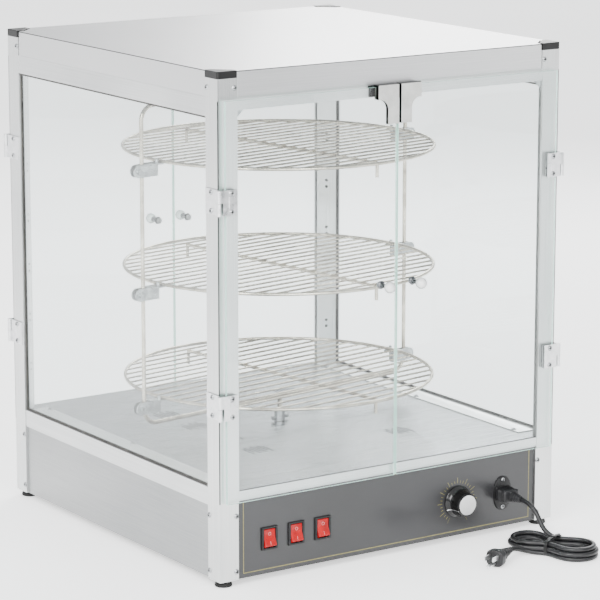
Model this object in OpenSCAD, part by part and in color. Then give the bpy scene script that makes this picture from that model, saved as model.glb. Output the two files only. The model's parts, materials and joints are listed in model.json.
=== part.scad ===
// Heated countertop food display case with a turning three-tier wire rack.
// Origin: middle of the case on the table. +X right along the front, -Y front, +Z up. Millimetres.

/* [Case] */
// Width of the case over its corner posts
case_w = 570; // [560:5:700]
// Depth of the case over its corner posts
case_d = 570; // [560:5:700]
// Height from the table to the top of the corner caps
case_h = 704; // [640:1:860]
// Width of each outer face of a corner post
post_w = 30; // [28:1:40]
// Depth of the post's edge lip, where its slanted inner face starts
post_lip = 9; // [9:0.5:12]
// Thickness of the post walls
post_wall = 2.5; // [2:0.5:3]
// Thickness of folded steel sheet
sheet_t = 1.5; // [1:0.1:2]
// Height of the roof's front and side bands
fascia_h = 35; // [25:1:50]
// Height of the side rail that shows below the roof band
side_rail_h = 26; // [20:1:40]
// Height of the front and rear rail that shows below the roof band
cross_rail_h = 17; // [14:1:24]
// Height of the deck above the table
deck_z = 135; // [125:1:180]
// Height of the rubber feet
foot_h = 9; // [6:0.5:20]
// Diameter of the feet at the table
foot_d = 25; // [20:1:26]

/* [Glass and doors] */
// Thickness of the side glass
side_glass_t = 4; // [3:0.5:4]
// Thickness of the door glass
door_glass_t = 5; // [4:0.5:6]
// Distance of the door glass from the outer side of the case
door_inset = 8; // [7:0.5:12]
// Gap between two doors where they meet
door_gap = 3; // [2:0.5:6]
// Space between the posts and the back of the door glass
door_standoff = 2.5; // [2:0.1:4]
// Height of a hinge leaf
hinge_h = 34; // [28:1:40]
// Diameter of the hinge pins
hinge_pin_d = 3; // [2.5:0.1:3.5]
// Diameter of the ball on each door knob
knob_ball_d = 16; // [12:1:22]
// How far a door can open, in degrees, as drawn
door_angle = 0; // [0:1:110]

/* [Rack] */
// Diameter of each round shelf
shelf_d = 452; // [380:2:456]
// Number of parallel wires in a shelf
shelf_wires = 20; // [12:1:26]
// Diameter of the shelf wires
shelf_wire_d = 3; // [2.5:0.5:4]
// Diameter of the shelf rim
shelf_rim_d = 5; // [4:0.5:6]
// Height of the bottom shelf above the deck
shelf_bottom_up = 73; // [65:1:90]
// Height of the middle shelf above the deck
shelf_middle_up = 237; // [200:1:270]
// Height of the top shelf above the deck
shelf_top_up = 412; // [360:1:430]
// Diameter of the rod loop that carries the shelves
rod_d = 6; // [5:0.5:8]
// Height of the rod loop's bottom bar above the deck
loop_bottom_up = 37; // [34:1:44]
// Space between the rod loop's top bar and the ceiling panel
loop_top_gap = 27; // [12:1:60]
// Turn of the rack as it stands, in degrees
rack_turn = 8; // [0:1:40]

/* [Controls] */
// Height of the row of controls above the table
control_z = 59; // [50:1:70]
// Distance from the middle of the case to the middle switch
switch_x = 160; // [140:1:170]
// Spacing of the three switches
switch_pitch = 44; // [36:1:50]
// Distance from the middle of the case to the thermostat knob
dial_x = 117; // [90:1:130]
// Distance from the middle of the case to the power inlet
inlet_x = 197; // [190:1:205]
// Diameter of the thermostat knob's skirt
dial_d = 46; // [36:1:50]

/* [Cord] */
// Diameter of the power cord
cord_d = 7; // [6:0.5:8]

/* [Hidden] */

$fn = 48;
half_w = case_w / 2;
half_d = case_d / 2;
fit = 0.1;          // clearance of parts that slide together and stay
run = 0.05;         // radial clearance of pins that turn

// corner post section
slot_u = 3.2;       // outer wall beside the panel slot
slot_w = 5.2;
slot_depth = 6;
post_cut = post_w + post_lip;
cap_h = 10;
cap_over = 1;
cap_plug_h = 8;
post_top = case_h - cap_h;
hole_pitch = 75;    // shelf clip holes in the slanted face
hole_pair = 10;
hole_d = 4.5;
hole_rows = 5;

// roof and rails
roof_t = 1.2;
roof_top = case_h - 1;
roof_under = roof_top - roof_t;
fascia_in = 1;      // set-back of bands and rails from the post face
fascia_z = roof_top - fascia_h;
rail_t = 2;
rail_deep = 14;
glass_bite = 5;
side_top_z = fascia_z - side_rail_h;
cross_top_z = fascia_z - cross_rail_h;
side_bottom_top = deck_z + 2;
side_bottom_h = 25;
side_bottom_z = side_bottom_top - side_bottom_h;
cross_bottom_h = 13.5;
cross_bottom_z = deck_z - sheet_t - cross_bottom_h;
ledge_w = 40;
ledge_t = 1.5;
rail_len_x = case_w - 2 * post_w;
rail_len_y = case_d - 2 * post_w;
tongue = slot_depth - 0.2;
gusset = 12;
ceiling_z = cross_top_z + rail_t;
lamp_can_d = 60;
lamp_can_h = 36;
lamp_hole_d = 44;
bulb_d = 24;

// glass
glass_out = slot_u + (slot_w - side_glass_t) / 2;
glass_w = rail_len_y + 2 * glass_bite;
glass_low = side_bottom_top - glass_bite;
glass_high = side_top_z + glass_bite;
gasket_out = 3;

// base
panel_in = slot_u;
panel_low = foot_h;
panel_slide = tongue - 0.3;
pan_z = foot_h + 3;
pan_flange = 15;
vent_l = 30;
vent_w = 2.4;
vent_pitch = 5.5;
vent_count = 7;
vent_groups = [[-119, 120], [-119, 40], [-119, -40], [-119, -120], [109, 147], [109, -147]];
deck_screw_x = half_w - 36;
deck_screws = [-half_d + 46, 0, half_d - 46];

// screws
screw_head_d = 7.5;
screw_head_h = 2.2;
screw_d = 4;
screw_in = 3.7;     // from the post's inner edge to the screw, inside the panel slot
screw_rows = [panel_low + 12, side_bottom_z - 13, fascia_z + 13];

// doors
door_low = cross_bottom_z - 1;
door_high = fascia_z - 3;
door_w = half_w - door_inset - door_gap / 2;
door_back = door_standoff;
door_face = door_back + door_glass_t;
leaf_t = 2;
pad_t = 1.2;
pin_u = -3;
pin_v = -7;
knuckle_d = 6;
knuckle_gap = 0.4;
clamp_w = 22;
clamp_x = 15;
clamp_screw_up = 12.5;
leaf_screw_v = 14;
leaf_screw_d = 3.5;
leaf_reach = 28;
hinge_zs = [door_low + 134, door_high - 134];
knob_in = 25;
knob_z = (door_low + door_high) / 2;
knob_out = 21;
latch_w = 34;
latch_low_w = 18;
latch_wide_h = 20;
latch_h = 54;
latch_curve = 14;
latch_t = 1.2;
latch_top = door_high + 3;
catch_w = 88;
catch_h = 15;
catch_deep = 5.4;
catch_proud = 0.4;
catch_z = cross_top_z + 1;

// controls
bezel_w = 26;
bezel_h = 32;
bezel_t = 2.5;
switch_deep = 22;
rocker_w = 18.4;
rocker_r = 13.5;
rocker_pin_d = 3;
rocker_tilt = 11;
rocker_back = 3;
dial_h = 24;
dial_top_d = 34;
dial_gap = 0.8;
dial_shaft_d = 6;
inlet_screw_pitch = 40;
panel_face = -half_d + panel_in;
panel_back = panel_face + sheet_t;

// heater and lamp
heater_d = 8;
heater_drop = 18;
heater_arm = 150;
heater_bend = 119;
heater_clip_y = 82;

// drive and rack
axis_clear = 0.5;
collar_d = 16;
collar_low = deck_z + axis_clear;
collar_h = 17;
shaft_d = 8;
stem_d = 7;
shaft_in_collar = 9;
bush_d = 14;
bush_flange_d = 18;
motor_d = 60;
motor_h = 34;
motor_top = deck_z - sheet_t - 24;
motor_floor = 4;
ear_x = motor_d / 2 + 10;
ear_t = 3;
bracket_span = 130;
bracket_deep = 60;
bush_h = 10;
shelf_r = (shelf_d - shelf_rim_d) / 2;
post_r = shelf_d / 2 + 26;
bend_r = 22;
loop_low = deck_z + loop_bottom_up;
loop_high = ceiling_z - loop_top_gap;
bar_d = 5;
bar_half = 205;
bar_drop = 20;
bracket_in = shelf_r - 1;
bracket_out = post_r + 8;
bracket_h = 18;
bracket_t = 2;
bracket_screw_r = post_r + 9;
shelf_zs = [deck_z + shelf_bottom_up, deck_z + shelf_middle_up, deck_z + shelf_top_up];

// power inlet and the cord's connector
inlet_hole_w = 28;
inlet_hole_h = 24;
inlet_plate_w = 31;
inlet_plate_h = 30;
inlet_plate_t = 2;
inlet_deep = 20;
inlet_screw_d = 3.5;
connector_w = 28;
connector_h = 19;
connector_l = 22;
nose_w = 23;
nose_h = 15.2;
nose_l = 14;

// cord, laid on the table in front of the inlet; the hank is a flat bundle tied in the middle
cord_r = cord_d / 2;
relief_end_y = -329;
relief_big_r = 8;
hank_middle = [196, -401];
hank_turn = -65;
hank_l = 136;
hank_w = 63;
hank_h = 20.5;
cord_route = [
    [197, relief_end_y, 59], [197, -333, 59], [197, -339, 58.5], [197.4, -345, 57], [198, -351, 54],
    [198.4, -355, 51], [199, -358.5, 47.5], [199.5, -361.5, 43.5], [200, -364.5, 38], [201, -367, 32],
    [201.5, -370, 28], [202.5, -373.5, 24.5], [203.5, -377.5, 22], [205.5, -383, 19]];
tail_route = [
    [169.5, -396.5, 3.5], [164, -392, 4.5], [157.5, -389, 6], [150.5, -387, 8], [143.5, -386.5, 10.2],
    [136, -387.5, 11.8], [129, -390, 12.5]];
plug_pos = [96.5, -405, 12.5];
plug_turn = 205;
plug_half = 14;
plug_w = 26;
plug_h = 24;
plug_relief = 22;
blade_gap = 12.7;
blade_t = 1.5;
blade_w = 6.3;
blade_l = 18;
earth_d = 4.8;
earth_down = 7;

// four corners: children are drawn with u = +X and v = +Y inwards from an outer corner
module at_corner(right, rear) {
    mirror([right, 0, 0])
        mirror([0, rear, 0])
            translate([-half_w, -half_d, 0])
                children();
}

module at_corners() {
    for (right = [0, 1])
        for (rear = [0, 1])
            at_corner(right, rear) children();
}

module on_sides() {
    for (right = [0, 1])
        mirror([right, 0, 0])
            translate([-half_w, 0, 0])
                children();
}

module on_ends() {
    for (rear = [0, 1])
        mirror([0, rear, 0])
            translate([0, -half_d, 0])
                children();
}

// box centred on x and y, standing on z = 0
module slab(x, y, z) {
    translate([-x / 2, -y / 2, 0])
        cube([x, y, z]);
}

// outline of a corner post with a clearance around it, for notches in sheet parts
module corner_notch(clear, low, high) {
    translate([0, 0, low])
        linear_extrude(high - low)
            polygon([[-1, -1], [post_w + clear, -1], [post_w + clear, post_lip + clear],
                [post_lip + clear, post_w + clear], [-1, post_w + clear]]);
}

// a profile in (u, z) carried along Y over a length, centred
module along_y(len) {
    translate([0, len / 2, 0])
        rotate([90, 0, 0])
            linear_extrude(len)
                children();
}

// a profile in (v, z) carried along X over a length, centred
module along_x(len) {
    translate([-len / 2, 0, 0])
        rotate([90, 0, 90])
            linear_extrude(len)
                children();
}

module rect(u, z, w, h) {
    translate([u, z])
        square([w, h]);
}

// ---- frame ----
module post_section() {
    core = post_w - slot_depth - post_wall;
    core_cut = post_cut - 1.42 * post_wall - 1;
    difference() {
        polygon([[0, 0], [post_w, 0], [post_w, post_lip], [post_lip, post_w], [0, post_w]]);
        polygon([[post_wall, post_wall], [core, post_wall], [core, core_cut - core],
            [core_cut - core, core], [post_wall, core]]);
        rect(post_w - slot_depth, slot_u, slot_depth + 1, slot_w);
        rect(slot_u, post_w - slot_depth, slot_w, slot_depth + 1);
    }
}

module corner_posts() {
    color("#dcdedd")
    at_corners()
        difference() {
            translate([0, 0, foot_h])
                linear_extrude(post_top - foot_h)
                    post_section();
            // paired clip holes through the slanted inner face
            for (i = [0 : hole_rows - 1])
                for (s = [-0.5, 0.5])
                    translate([post_cut / 2, post_cut / 2, deck_z + 65 + i * hole_pitch + s * hole_pair])
                        rotate([0, 90, 45])
                            cylinder(h = 12, d = hole_d, center = true);
            for (z = screw_rows) {
                translate([post_w - screw_in, -1, z])
                    rotate([-90, 0, 0])
                        cylinder(h = slot_u + 2, d = screw_d);
                translate([-1, post_w - screw_in, z])
                    rotate([0, 90, 0])
                        cylinder(h = slot_u + 2, d = screw_d);
            }
            // tapped holes for the hinge leaves
            for (z = hinge_zs)
                for (s = [-1, 1])
                    translate([-1, leaf_screw_v, z + s * clamp_screw_up])
                        rotate([0, 90, 0])
                            cylinder(h = post_wall + 2, d = leaf_screw_d + 2 * fit);
        }
}

module corner_caps() {
    color("#2e2e2e")
    at_corners() {
        core = post_w - slot_depth - 2 * post_wall - 2 * fit;
        translate([-cap_over, -cap_over, post_top])
            linear_extrude(cap_h)
                polygon([[2, 0], [post_w + cap_over, 0], [post_w + cap_over, post_lip],
                    [post_lip, post_w + cap_over], [0, post_w + cap_over], [0, 2]]);
        translate([post_wall + fit, post_wall + fit, post_top - cap_plug_h])
            linear_extrude(cap_plug_h + 1)
                polygon([[0, 0], [core, 0], [core, 6], [6, core], [0, core]]);
    }
}

module feet() {
    color("#1c1c1c")
    at_corners()
        translate([14, 14, 0]) {
            rotate_extrude()
                polygon([[0, 0], [foot_d / 2 - 1, 0], [foot_d / 2, 1], [foot_d / 2 - 2, foot_h], [0, foot_h]]);
            // push-in plug that fills the open end of the post
            translate([-10.5, -10.5, foot_h - 1])
                linear_extrude(12)
                    polygon([[0, 0], [16, 0], [16, 8], [8, 16], [0, 16]]);
        }
}

module roof_cover() {
    color("#d9d9d9")
    difference() {
        union() {
            translate([0, 0, roof_under])
                slab(case_w - 2 * fascia_in, case_d - 2 * fascia_in, roof_t);
            on_sides()
                along_y(rail_len_y)
                    rect(fascia_in, fascia_z, roof_t, fascia_h);
            on_ends()
                along_x(rail_len_x)
                    rect(fascia_in, fascia_z, roof_t, fascia_h);
        }
        at_corners()
            corner_notch(cap_over + 0.3, fascia_z - 1, roof_top + 1);
    }
}

module ceiling_panel() {
    edge = fascia_in + 2 * rail_t + 0.5;
    color("#c9cbcc")
    difference() {
        translate([0, 0, ceiling_z])
            slab(case_w - 2 * edge - 8, case_d - 2 * edge, roof_t);
        at_corners()
            corner_notch(1, ceiling_z - 1, ceiling_z + 3);
        translate([0, 0, ceiling_z - 1])
            cylinder(h = 4, d = lamp_hole_d);
    }
}

module rail_tongue(low, high) {
    translate([slot_u + fit, -tongue, low])
        cube([slot_w - 2 * fit, tongue + 1, high - low]);
}

module top_side_rails() {
    leg = slot_u - fascia_in;
    color("#e3e3e3")
    on_sides() {
        along_y(rail_len_y)
            difference() {
                union() {
                    rect(fascia_in, side_top_z, slot_u + slot_w - fascia_in + leg, slot_depth + rail_t);
                    rect(fascia_in, side_top_z, leg, side_rail_h);
                    rect(fascia_in + roof_t, fascia_z - 2, rail_t, roof_under - fascia_z + 2);
                    rect(fascia_in + roof_t, roof_under - rail_t, rail_deep, rail_t);
                }
                rect(slot_u, side_top_z - 1, slot_w, slot_depth + 1);
            }
        for (s = [0, 1])
            mirror([0, s, 0])
                translate([0, -rail_len_y / 2, 0])
                    difference() {
                        rail_tongue(side_top_z + slot_depth, post_top - cap_plug_h - 2);
                        translate([0, -screw_in, screw_rows[2]])
                            rotate([0, 90, 0])
                                cylinder(h = 3 * slot_w, d = screw_d, center = true);
                    }
    }
}

module top_cross_rails() {
    web = slot_u - fascia_in;
    color("#e3e3e3")
    on_ends() {
        difference() {
            along_x(rail_len_x) {
                rect(fascia_in, cross_top_z, web, cross_rail_h);
                rect(fascia_in + roof_t, fascia_z - 2, rail_t, roof_under - fascia_z + 2);
                rect(fascia_in, cross_top_z, rail_deep + 3, rail_t);
                rect(fascia_in + roof_t, roof_under - rail_t, rail_deep, rail_t);
            }
            translate([0, 0, catch_z])
                slab(catch_w + 2 * fit, 12, catch_h + fit);
        }
        for (s = [0, 1])
            mirror([s, 0, 0])
                translate([-rail_len_x / 2, 0, 0])
                    rotate([0, 0, -90])
                        mirror([1, 0, 0])
                            difference() {
                                rail_tongue(cross_top_z, post_top - cap_plug_h - 2);
                                translate([0, -screw_in, screw_rows[2]])
                                    rotate([0, 90, 0])
                                        cylinder(h = 3 * slot_w, d = screw_d, center = true);
                            }
    }
}

module corner_gussets() {
    color("#bfc1c2")
    on_ends()
        for (s = [0, 1])
            mirror([s, 0, 0])
                translate([-rail_len_x / 2, fascia_in + 3, cross_top_z])
                    rotate([-90, 0, 0])
                        linear_extrude(2)
                            polygon([[0, 0], [gusset, 0], [0, gusset]]);
}

module bottom_side_rails() {
    leg = slot_u - fascia_in;
    inner = slot_u + slot_w + leg;
    color("#d5d5d5")
    on_sides()
        difference() {
            union() {
                along_y(rail_len_y)
                    difference() {
                        union() {
                            rect(fascia_in, side_bottom_top - slot_depth - rail_t,
                                inner - fascia_in, slot_depth + rail_t);
                            rect(fascia_in, side_bottom_z, leg, side_bottom_h);
                            rect(fascia_in, side_bottom_z, rail_deep, rail_t);
                            rect(inner - 1, deck_z, ledge_w - inner + 1, ledge_t);
                        }
                        rect(slot_u, side_bottom_top - slot_depth, slot_w, slot_depth + 1);
                    }
                for (s = [0, 1])
                    mirror([0, s, 0])
                        translate([0, -rail_len_y / 2, 0])
                            rail_tongue(side_bottom_z, side_bottom_top - slot_depth);
            }
            for (y = deck_screws)
                translate([half_w - deck_screw_x, y, deck_z - 1])
                    cylinder(h = ledge_t + 2, d = screw_d);
        }
}

module bottom_cross_rails() {
    web = slot_u - fascia_in;
    color("#d5d5d5")
    on_ends() {
        along_x(rail_len_x) {
            rect(fascia_in, cross_bottom_z, web, cross_bottom_h);
            rect(fascia_in, cross_bottom_z, rail_deep, rail_t);
            rect(fascia_in, cross_bottom_z + cross_bottom_h - rail_t, rail_deep, rail_t);
        }
        for (s = [0, 1])
            mirror([s, 0, 0])
                translate([-rail_len_x / 2, 0, 0])
                    rotate([0, 0, -90])
                        mirror([1, 0, 0])
                            rail_tongue(cross_bottom_z, cross_bottom_z + cross_bottom_h);
    }
}

// ---- glass ----
module side_glasses() {
    color([0.85, 0.93, 0.91, 0.35])
    on_sides()
        translate([glass_out, -glass_w / 2, glass_low])
            cube([side_glass_t, glass_w, glass_high - glass_low]);
}

module glass_gaskets() {
    color("#1a1a1a")
    on_sides()
        difference() {
            translate([slot_u, -rail_len_y / 2 - tongue, side_bottom_top - slot_depth])
                cube([slot_w, rail_len_y + 2 * tongue, side_top_z - side_bottom_top + 2 * slot_depth]);
            translate([-1, -rail_len_y / 2 + gasket_out, side_bottom_top + gasket_out])
                cube([20, rail_len_y - 2 * gasket_out, side_top_z - side_bottom_top - 2 * gasket_out]);
            translate([glass_out, -glass_w / 2, glass_low])
                cube([side_glass_t, glass_w, glass_high - glass_low]);
        }
}

// ---- base ----
module side_panels() {
    color("#bdbdbd")
    on_sides()
        difference() {
            translate([panel_in, -rail_len_y / 2 - panel_slide, panel_low])
                cube([sheet_t, rail_len_y + 2 * panel_slide, side_bottom_z - panel_low]);
            for (s = [-1, 1])
                for (i = [0, 1])
                    translate([0, s * (rail_len_y / 2 + screw_in), screw_rows[i]])
                        rotate([0, 90, 0])
                            cylinder(h = 20, d = screw_d, center = true);
        }
}

// end panel outline with its screw holes, drawn for the front
module end_panel() {
    difference() {
        translate([-rail_len_x / 2 - panel_slide, panel_face, panel_low])
            cube([rail_len_x + 2 * panel_slide, sheet_t, cross_bottom_z - panel_low]);
        for (s = [-1, 1])
            for (i = [0, 1])
                translate([s * (rail_len_x / 2 + screw_in), panel_face, screw_rows[i]])
                    rotate([90, 0, 0])
                        cylinder(h = 20, d = screw_d, center = true);
    }
}

module at_switches() {
    for (i = [-1 : 1])
        translate([-switch_x + i * switch_pitch, panel_face, control_z])
            children();
}

module control_panel() {
    color("#404042")
    difference() {
        end_panel();
        at_switches()
            translate([0, 0, -bezel_h / 2 + 1.5])
                slab(bezel_w - 3, 12, bezel_h - 3);
        translate([dial_x, panel_face, control_z])
            rotate([90, 0, 0])
                cylinder(h = 12, d = 10 + 2 * fit, center = true);
        translate([inlet_x, panel_face, control_z - inlet_hole_h / 2 - fit])
            slab(inlet_hole_w + 2 * fit, 12, inlet_hole_h + 2 * fit);
        for (s = [-1, 1])
            translate([inlet_x, panel_face, control_z + s * inlet_screw_pitch / 2])
                rotate([90, 0, 0])
                    cylinder(h = 12, d = inlet_screw_d, center = true);
    }
}

module rear_panel() {
    color("#bdbdbd")
    rotate([0, 0, 180])
        end_panel();
}

module deck_plate() {
    edge_x = slot_u + slot_w + slot_u - fascia_in + 0.5;
    color("#c6c7cb")
    difference() {
        translate([0, 0, deck_z - sheet_t])
            slab(case_w - 2 * edge_x, case_d - 2 * fascia_in, sheet_t);
        at_corners()
            corner_notch(0.5, deck_z - 5, deck_z + 5);
        for (g = vent_groups)
            for (i = [0 : vent_count - 1])
                translate([g[0] + (i - (vent_count - 1) / 2) * vent_pitch, g[1] + (i % 2 - 0.5) * 8,
                    deck_z - sheet_t - 1])
                    slab(vent_w, vent_l, sheet_t + 2);
        for (s = [-1, 1])
            for (y = deck_screws)
                translate([s * deck_screw_x, y, deck_z - 5])
                    cylinder(h = 10, d = screw_d);
        translate([0, 0, deck_z - 5])
            cylinder(h = 10, d = bush_d + 2 * fit);
    }
}

module base_pan() {
    inner_w = case_w - 2 * (panel_in + sheet_t + fit);
    inner_d = case_d - 2 * (panel_in + sheet_t + fit);
    color("#a9abad")
    difference() {
        translate([0, 0, pan_z])
            slab(inner_w, inner_d, pan_flange);
        translate([0, 0, pan_z + sheet_t])
            slab(inner_w - 2 * sheet_t, inner_d - 2 * sheet_t, pan_flange);
        at_corners()
            corner_notch(1, pan_z - 1, pan_z + pan_flange + 1);
        // air slots under the heater and the motor
        for (x = [-180 : 40 : 180])
            for (y = [-150, 150])
                translate([x, y, pan_z - 1])
                    slab(5, 70, sheet_t + 2);
    }
}

module pan_head_screw(shank) {
    rotate_extrude()
        polygon([[0, shank], [screw_d / 2, shank], [screw_d / 2, 0], [screw_head_d / 2, 0],
            [screw_head_d / 2, -1], [screw_head_d / 2 - 1.5, -screw_head_h], [0, -screw_head_h]]);
}

module case_screws() {
    color("#8f8f8f") {
        at_corners()
            for (z = screw_rows) {
                translate([post_w - screw_in, 0, z])
                    rotate([-90, 0, 0])
                        pan_head_screw(slot_u + 3);
                translate([0, post_w - screw_in, z])
                    rotate([0, 90, 0])
                        pan_head_screw(slot_u + 3);
            }
        for (s = [-1, 1])
            for (y = deck_screws)
                translate([s * deck_screw_x, y, deck_z + ledge_t])
                    rotate([180, 0, 0])
                        pan_head_screw(ledge_t + sheet_t + 3);
        for (s = [-1, 1])
            translate([inlet_x, panel_face - inlet_plate_t, control_z + s * inlet_screw_pitch / 2])
                rotate([-90, 0, 0])
                    rotate_extrude()
                        polygon([[0, 7], [inlet_screw_d / 2, 7], [inlet_screw_d / 2, 0], [3, 0], [3, -0.8],
                            [1.8, -1.6], [0, -1.6]]);
    }
}

// ---- heating, light and drive ----
// sheathed tube bent in a U below the vents, with two clips that hang it from the deck
module heating_element() {
    z = deck_z - sheet_t - heater_drop;
    color("#6d6660") {
        for (s = [-1, 1])
            translate([s * heater_bend, heater_arm, z])
                rotate([90, 0, 0])
                    cylinder(h = 2 * heater_arm, d = heater_d);
        translate([0, -heater_arm, z])
            rotate([0, 0, 180])
                rotate_extrude(angle = 180)
                    translate([heater_bend, 0])
                        circle(d = heater_d);
    }
    color("#b5b5b5")
    for (s = [-1, 1])
        translate([s * heater_bend, heater_clip_y, 0])
            difference() {
                translate([0, 0, z - heater_d / 2 - 2])
                    slab(heater_d + 6, 10, heater_drop + heater_d / 2 + 2);
                translate([0, 0, z])
                    rotate([90, 0, 0])
                        cylinder(h = 20, d = heater_d, center = true);
            }
}

module gear_motor() {
    color("#8d9093") {
        translate([0, 0, motor_top - motor_h])
            difference() {
                cylinder(h = motor_h, d = motor_d);
                translate([0, 0, motor_floor])
                    cylinder(h = motor_h, d = shaft_d + 2 * run);
            }
        for (s = [-1, 1])
            translate([s * (ear_x - 4), 0, motor_top - ear_t])
                difference() {
                    slab(20, 14, ear_t);
                    translate([s * 4, 0, -1])
                        cylinder(h = ear_t + 2, d = screw_d);
                }
    }
}

module motor_bracket() {
    leg_h = deck_z - sheet_t - motor_top;
    color("#b3b5b7")
    difference() {
        union() {
            translate([0, 0, motor_top])
                slab(bracket_span, bracket_deep, bracket_t);
            for (s = [-1, 1]) {
                translate([s * (bracket_span - bracket_t) / 2, 0, motor_top])
                    slab(bracket_t, bracket_deep, leg_h);
                translate([s * (bracket_span / 2 + 8), 0, motor_top + leg_h - bracket_t])
                    slab(20, bracket_deep, bracket_t);
            }
        }
        translate([0, 0, motor_top - 1])
            cylinder(h = 5, d = bush_flange_d + 2);
        for (s = [-1, 1])
            translate([s * ear_x, 0, motor_top - 1])
                cylinder(h = 5, d = screw_d);
    }
}

module deck_bush() {
    color("#c9a227")
    translate([0, 0, deck_z - sheet_t - bush_h])
        difference() {
            union() {
                cylinder(h = bush_h + sheet_t, d = bush_d);
                translate([0, 0, bush_h - 3])
                    cylinder(h = 3, d = bush_flange_d);
            }
            translate([0, 0, -1])
                cylinder(h = bush_h + sheet_t + 2, d = shaft_d + 2 * run);
        }
}

// shaft of the gear motor; the lower end sits in the gearbox
module motor_shaft() {
    low = motor_top - motor_h + motor_floor + 2;
    color("#b8b8b8")
    translate([0, 0, low])
        cylinder(h = collar_low + shaft_in_collar - low, d = shaft_d);
}

module oven_lamp() {
    // reflector can, holder and bulb, recessed above the ceiling
    color("#c2c4c6")
    translate([0, 0, ceiling_z + roof_t])
        difference() {
            cylinder(h = lamp_can_h, d = lamp_can_d);
            translate([0, 0, -1])
                cylinder(h = lamp_can_h - sheet_t, d = lamp_can_d - 2 * sheet_t);
        }
    color("#e9e7e0")
    translate([0, 0, ceiling_z + roof_t]) {
        translate([0, 0, bulb_d / 2])
            cylinder(h = lamp_can_h - bulb_d / 2 - 1, d = bulb_d);
        translate([0, 0, bulb_d / 2 - 4])
            sphere(d = bulb_d);
    }
}

// ---- controls ----
module switch_housings() {
    inside_w = rocker_w + 0.8;
    inside_h = 2 * rocker_r + 0.6;
    color("#1b1b1b")
    at_switches()
        difference() {
            union() {
                translate([0, -bezel_t / 2, -bezel_h / 2])
                    slab(bezel_w, bezel_t, bezel_h);
                translate([0, switch_deep / 2, -bezel_h / 2 + 1.6])
                    slab(bezel_w - 3.2, switch_deep, bezel_h - 3.2);
            }
            translate([0, 3, -inside_h / 2])
                slab(inside_w, 2 * (rocker_r - 3) + 2, inside_h);
            translate([0, rocker_back, 0])
                rotate([0, 90, 0])
                    cylinder(h = inside_w + 2.4, d = rocker_pin_d + 2 * run, center = true);
        }
}

// rocker that pivots on two stub pins; its face is a shallow V and its ends are arcs about the pins
module rocker(x) {
    tilt_face = rocker_r * tan(rocker_tilt);
    face = 5;
    color("#d8292f")
    translate([x, panel_face + rocker_back, control_z])
        rotate([-rocker_tilt, 0, 0]) {
            intersection() {
                rotate([0, 90, 0])
                    cylinder(h = rocker_w, r = rocker_r, center = true);
                along_x(rocker_w)
                    polygon([[-face - tilt_face, -rocker_r], [-face, 0], [-face - tilt_face, rocker_r],
                        [3, rocker_r], [5, 0], [3, -rocker_r]]);
            }
            rotate([0, 90, 0])
                cylinder(h = rocker_w + 2.4, d = rocker_pin_d, center = true);
        }
}

module heat_rocker() {
    rocker(-switch_x - switch_pitch);
}

module light_rocker() {
    rocker(-switch_x);
}

module turntable_rocker() {
    rocker(-switch_x + switch_pitch);
}

module thermostat() {
    color("#9b9b9b")
    translate([dial_x, panel_back, control_z]) {
        rotate([-90, 0, 0]) {
            difference() {
                translate([0, 0, 2])
                    slab(44, 36, 24);
                cylinder(h = 20, d = dial_shaft_d + 2 * run);
            }
        }
        // threaded neck through the panel
        rotate([90, 0, 0])
            difference() {
                translate([0, 0, -3])
                    cylinder(h = 3 + sheet_t + 0.3, d = 10);
                translate([0, 0, -6])
                    cylinder(h = 20, d = dial_shaft_d + 2 * run);
            }
    }
}

module thermostat_knob() {
    color("#202020")
    translate([dial_x, panel_face - dial_gap, control_z])
        rotate([90, 0, 0]) {
            rotate_extrude()
                polygon([[0, 0], [dial_d / 2, 0], [dial_d / 2, 2], [dial_d / 2 - 3, 6],
                    [dial_top_d / 2 + 1, 9], [dial_top_d / 2, dial_h - 1.5],
                    [dial_top_d / 2 - 1.5, dial_h], [0, dial_h]]);
            // D-shaped drive shaft of the thermostat, held in the knob
            translate([0, 0, -14])
                cylinder(h = 15, d = dial_shaft_d);
        }
}

module power_inlet() {
    color("#151515")
    translate([inlet_x, panel_face, control_z])
        difference() {
            union() {
                translate([0, -inlet_plate_t / 2, -inlet_screw_pitch / 2 - 5])
                    slab(24, inlet_plate_t, inlet_screw_pitch + 10);
                translate([0, -inlet_plate_t / 2, -inlet_plate_h / 2])
                    slab(inlet_plate_w, inlet_plate_t, inlet_plate_h);
                translate([0, inlet_deep / 2 - 1, -inlet_hole_h / 2])
                    slab(inlet_hole_w, inlet_deep, inlet_hole_h);
            }
            translate([0, inlet_deep / 2 - 5, -nose_h / 2 - 0.9])
                slab(nose_w + 1.6, inlet_deep, nose_h + 1.8);
            for (s = [-1, 1])
                translate([0, 0, s * inlet_screw_pitch / 2])
                    rotate([90, 0, 0])
                        cylinder(h = 12, d = inlet_screw_d, center = true);
        }
}

// ---- hinges ----
// leaf on the side face of the post with the lower knuckle; drawn in the corner frame
module post_leaf() {
    low = -hinge_h / 2;
    difference() {
        union() {
            translate([-leaf_t, pin_v, low])
                cube([leaf_t, leaf_reach - pin_v, hinge_h]);
            translate([pin_u, pin_v, low])
                cylinder(h = hinge_h / 2 - knuckle_gap, d = knuckle_d);
        }
        // room for the upper knuckle
        translate([pin_u - 6, pin_v - 6, -knuckle_gap])
            cube([knuckle_d / 2 + 9.5, knuckle_d / 2 + 6.5, hinge_h]);
        translate([pin_u, pin_v, low - 1])
            cylinder(h = hinge_h, d = hinge_pin_d);
    }
    for (s = [-1, 1])
        translate([-leaf_t, leaf_screw_v, s * clamp_screw_up])
            rotate([0, 90, 0])
                rotate_extrude()
                    polygon([[0, 5], [leaf_screw_d / 2, 5], [leaf_screw_d / 2, 0], [3.4, 0], [3.4, -0.8],
                        [2, -1.8], [0, -1.8]]);
}

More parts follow.
